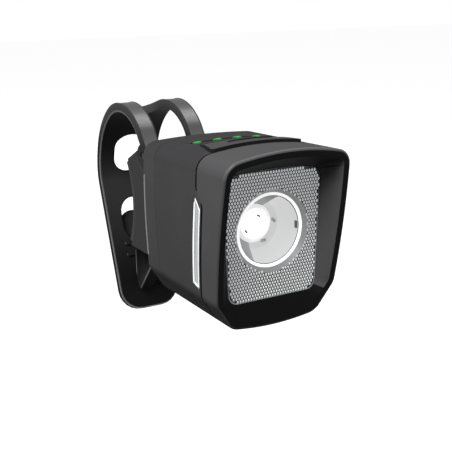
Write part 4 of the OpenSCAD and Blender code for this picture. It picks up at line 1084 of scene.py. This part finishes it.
# Matt silicone on the narrow sides, in painted shade: black low down, painted dark grey over the crown where light
# falls.
strap_side = moulded("strap_matt_silicone", "0e0e0f", "0b0b0c", 0.7, 0.4, 0.02, IOR=1.43, Specular_IOR_Level=0.05)
tone_to(strap_side, "343435", SIDE_LOW, SIDE_HIGH)
tone_to(strap_painted_highlight, "343435", HIGHLIGHT_FADE_LOW, HIGHLIGHT_FADE_HIGH)
piece("rubber_strap", bm, BAR, [strap_silicone, strap_inside, strap_painted_highlight, strap_side], "strap", ["strap"],
      sharp=20)

# Fasteners and inner pieces.
# These keep their solids: screws, pins and what the shells hold, each with its own finish.
# Most are out of sight, and show when the strap or the cover is open or the lamp is taken apart.
STAIN_MM = 4
TRACK_MM = 1.6


def metal(name, colour, rough, grain_mm, **sockets):
    """Bare or plated metal: a fine drawn grain along X, with slight stains."""
    material, tree, shader, spot = start_material(name, Metallic=1, **sockets)
    # The real grain is a few hundredths of a millimetre wide, so it is drawn coarser.
    drawn = add(tree, "Mapping", {"Vector": spot, "Scale": (0.12, 1, 1)})
    grain = add(tree, "TexNoise", {"Vector": drawn.outputs["Vector"], "Scale": 1 / (grain_mm * MM), "Detail": 3})
    stain = add(tree, "TexNoise", {"Vector": spot, "Scale": 1 / (STAIN_MM * MM), "Detail": 2})
    tone = add(tree, "Mix", {0: stain.outputs["Fac"], 6: linear(colour), 7: [0.8 * c for c in linear(colour)]},
               data_type="RGBA")
    gloss = add(tree, "MapRange", {"Value": grain.outputs["Fac"], "To Min": rough - 0.1, "To Max": rough + 0.1})
    bump = add(tree, "Bump", {"Height": grain.outputs["Fac"], "Distance": 0.01 * MM, "Strength": 0.4})
    tree.links.new(tone.outputs[2], shader.inputs["Base Color"])
    tree.links.new(gloss.outputs["Result"], shader.inputs["Roughness"])
    tree.links.new(bump.outputs["Normal"], shader.inputs["Normal"])
    return material


def circuit_board(name, colour, track):
    """Solder mask over copper: tracks show as lighter lines in small square blocks."""
    material, tree, shader, spot = start_material(name, Roughness=0.35, IOR=1.55)
    # Real tracks lie about 0.3 mm apart, so they are drawn coarser.
    blocks = add(tree, "TexBrick", {"Vector": spot, "Color1": linear(colour), "Color2": linear(colour),
                                    "Mortar": linear(track), "Scale": 1 / (TRACK_MM * MM), "Mortar Size": 0.08})
    bump = add(tree, "Bump", {"Height": blocks.outputs["Fac"], "Distance": 0.02 * MM, "Strength": 0.5})
    tree.links.new(blocks.outputs["Color"], shader.inputs["Base Color"])
    tree.links.new(bump.outputs["Normal"], shader.inputs["Normal"])
    return material


# Black oxide on steel: dark, with a dull glint.
steel = metal("steel_black_oxide", "2b2c2e", 0.4, 0.2)
# Bare extruded aluminium: pale grey with faint lengthwise lines.
aluminium = metal("aluminium_extruded", "b4b7ba", 0.4, 0.3)
# Nickel plate: a warm bright metal.
shell_steel = metal("socket_plated_nickel", "b9b7b0", 0.28, 0.2)
# Moulded rubber: matt black.
gasket_rubber = moulded("gasket_black_rubber", "191919", "141414", 0.7, 0.3, 0.02, IOR=1.5)
inner_finishes = {
    steel: ("housing_screws", "bracket_screws", "strap_pin", "cover_pin"),
    aluminium: ("heat_sink",),
    shell_steel: ("charge_socket",),
    gasket_rubber: ("lens_gasket", "button_seal", "cap_seal"),
    # Phosphor over the LED: an even yellow.
    moulded("chip_yellow_phosphor", "f2e39a", "ead889", 0.5, 0.2, 0.01): ("led_chip",),
    # White solder mask: pale and glossy, with faint tracks.
    circuit_board("board_white_solder_mask", "e9e9e6", "d2d2cc"): ("led_board",),
    # Green solder mask: deep green with lighter tracks.
    circuit_board("board_green_solder_mask", "1c5533", "2f7a4c"): ("main_board", "charge_board"),
    # Nylon body: plain black with a slight gloss.
    moulded("switch_black_nylon", "262626", "202020", 0.45, 0.2, 0.01): ("tact_switch",),
    # Acetal: waxy tan.
    moulded("plunger_tan_acetal", "c7b070", "bda564", 0.4, 0.2, 0.01): ("switch_plunger",),
    # Milky epoxy: a pale green white.
    moulded("led_milky_epoxy", "d8e6c8", "cbdcb8", 0.3, 0.2, 0.01): ("indicator_leds",),
    # Aluminium foil pouch: a soft silver.
    metal("cell_aluminium_foil", "b9bdc2", 0.35, 0.6): ("battery_cell",),
    # Moulded ABS: plain grey.
    moulded("tray_grey_abs", "50555a", "484d52", 0.5, 0.3, 0.02): ("battery_tray",),
    # PVC insulation: a dull red.
    moulded("lead_red_pvc", "a02c2c", "932525", 0.4, 0.4, 0.01): ("battery_leads",),
    # Polyimide film: amber with a gloss.
    moulded("ribbon_amber_polyimide", "c98f3a", "bd832f", 0.3, 0.4, 0.01): ("charge_ribbon",),
}
for material, names in inner_finishes.items():
    for name in names:
        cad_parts[name].data.materials.clear()
        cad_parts[name].data.materials.append(material)

# Stage.
# A pale floor well below the strap's tab, in metres, and a white surround that adds little light.
# Soft boxes above and at the front left light the lamp, and weak ones behind lift its rear edges.
FLOOR_Z = -0.13
FLOOR_SIZE = 4
SKY_LIGHT = 0.1
AIM = Vector((0, -0.05, 0))
bm = bmesh.new()
bmesh.ops.create_grid(bm, x_segments=1, y_segments=1, size=FLOOR_SIZE, matrix=Matrix.Translation((0, 0, FLOOR_Z)))
floor_mesh = bpy.data.meshes.new("floor")
bm.to_mesh(floor_mesh)
bm.free()
floor = bpy.data.objects.new("floor", floor_mesh)
bpy.context.scene.collection.objects.link(floor)


def seen_directly(tree):
    """1 for rays from the camera, a gloss or a clear piece, and 0 for the light that falls on the object."""
    path = add(tree, "LightPath").outputs
    direct = add(tree, "Math", {0: path["Is Camera Ray"], 1: path["Is Glossy Ray"]}, operation="MAXIMUM")
    return add(tree, "Math", {0: direct.outputs[0], 1: path["Is Transmission Ray"]}, operation="MAXIMUM").outputs[0]


floor_paint = bpy.data.materials.new("floor_pale_paint")
floor_paint.use_nodes = True
tree = floor_paint.node_tree
tree.nodes.clear()
matt = add(tree, "BsdfDiffuse", {"Color": linear("222222")})
pale = add(tree, "BsdfDiffuse", {"Color": linear("8a8a8a")})
white = add(tree, "Emission", {"Color": linear("ffffff"), "Strength": 0.95})
bright = add(tree, "AddShader", {0: pale.outputs[0], 1: white.outputs[0]})
shown = add(tree, "MixShader", {0: seen_directly(tree), 1: matt.outputs[0], 2: bright.outputs[0]})
add(tree, "OutputMaterial", {"Surface": shown.outputs[0]})
floor_mesh.materials.append(floor_paint)

world = bpy.data.worlds.new("white_surround")
world.use_nodes = True
tree = world.node_tree
tree.nodes.clear()
level = add(tree, "MapRange", {"Value": seen_directly(tree), "To Min": SKY_LIGHT, "To Max": 1})
sky = add(tree, "Background", {"Color": linear("ffffff"), "Strength": level.outputs["Result"]})
add(tree, "OutputWorld", {"Surface": sky.outputs[0]})
bpy.context.scene.world = world

# Name, place, size and watts of each box.
SOFT_BOXES = (
    ("front_left_box", (-0.46, -0.37, 0.64), 0.45, 13.5),
    ("top_box", (0.31, 0.05, 0.68), 0.28, 1.7),
    ("rear_left_box", (-0.5, 0.6, 0.4), 0.2, 2),
    ("rear_box", (0.25, 0.85, 0.05), 0.25, 1.5),
)
for name, spot, size, power in SOFT_BOXES:
    box = bpy.data.lights.new(name, "AREA")
    box.size = size
    box.energy = power
    holder = bpy.data.objects.new(name, box)
    aim = AIM - Vector(spot)
    holder.matrix_world = Matrix.Translation(spot) @ aim.to_track_quat("-Z", "Y").to_matrix().to_4x4()
    bpy.context.scene.collection.objects.link(holder)
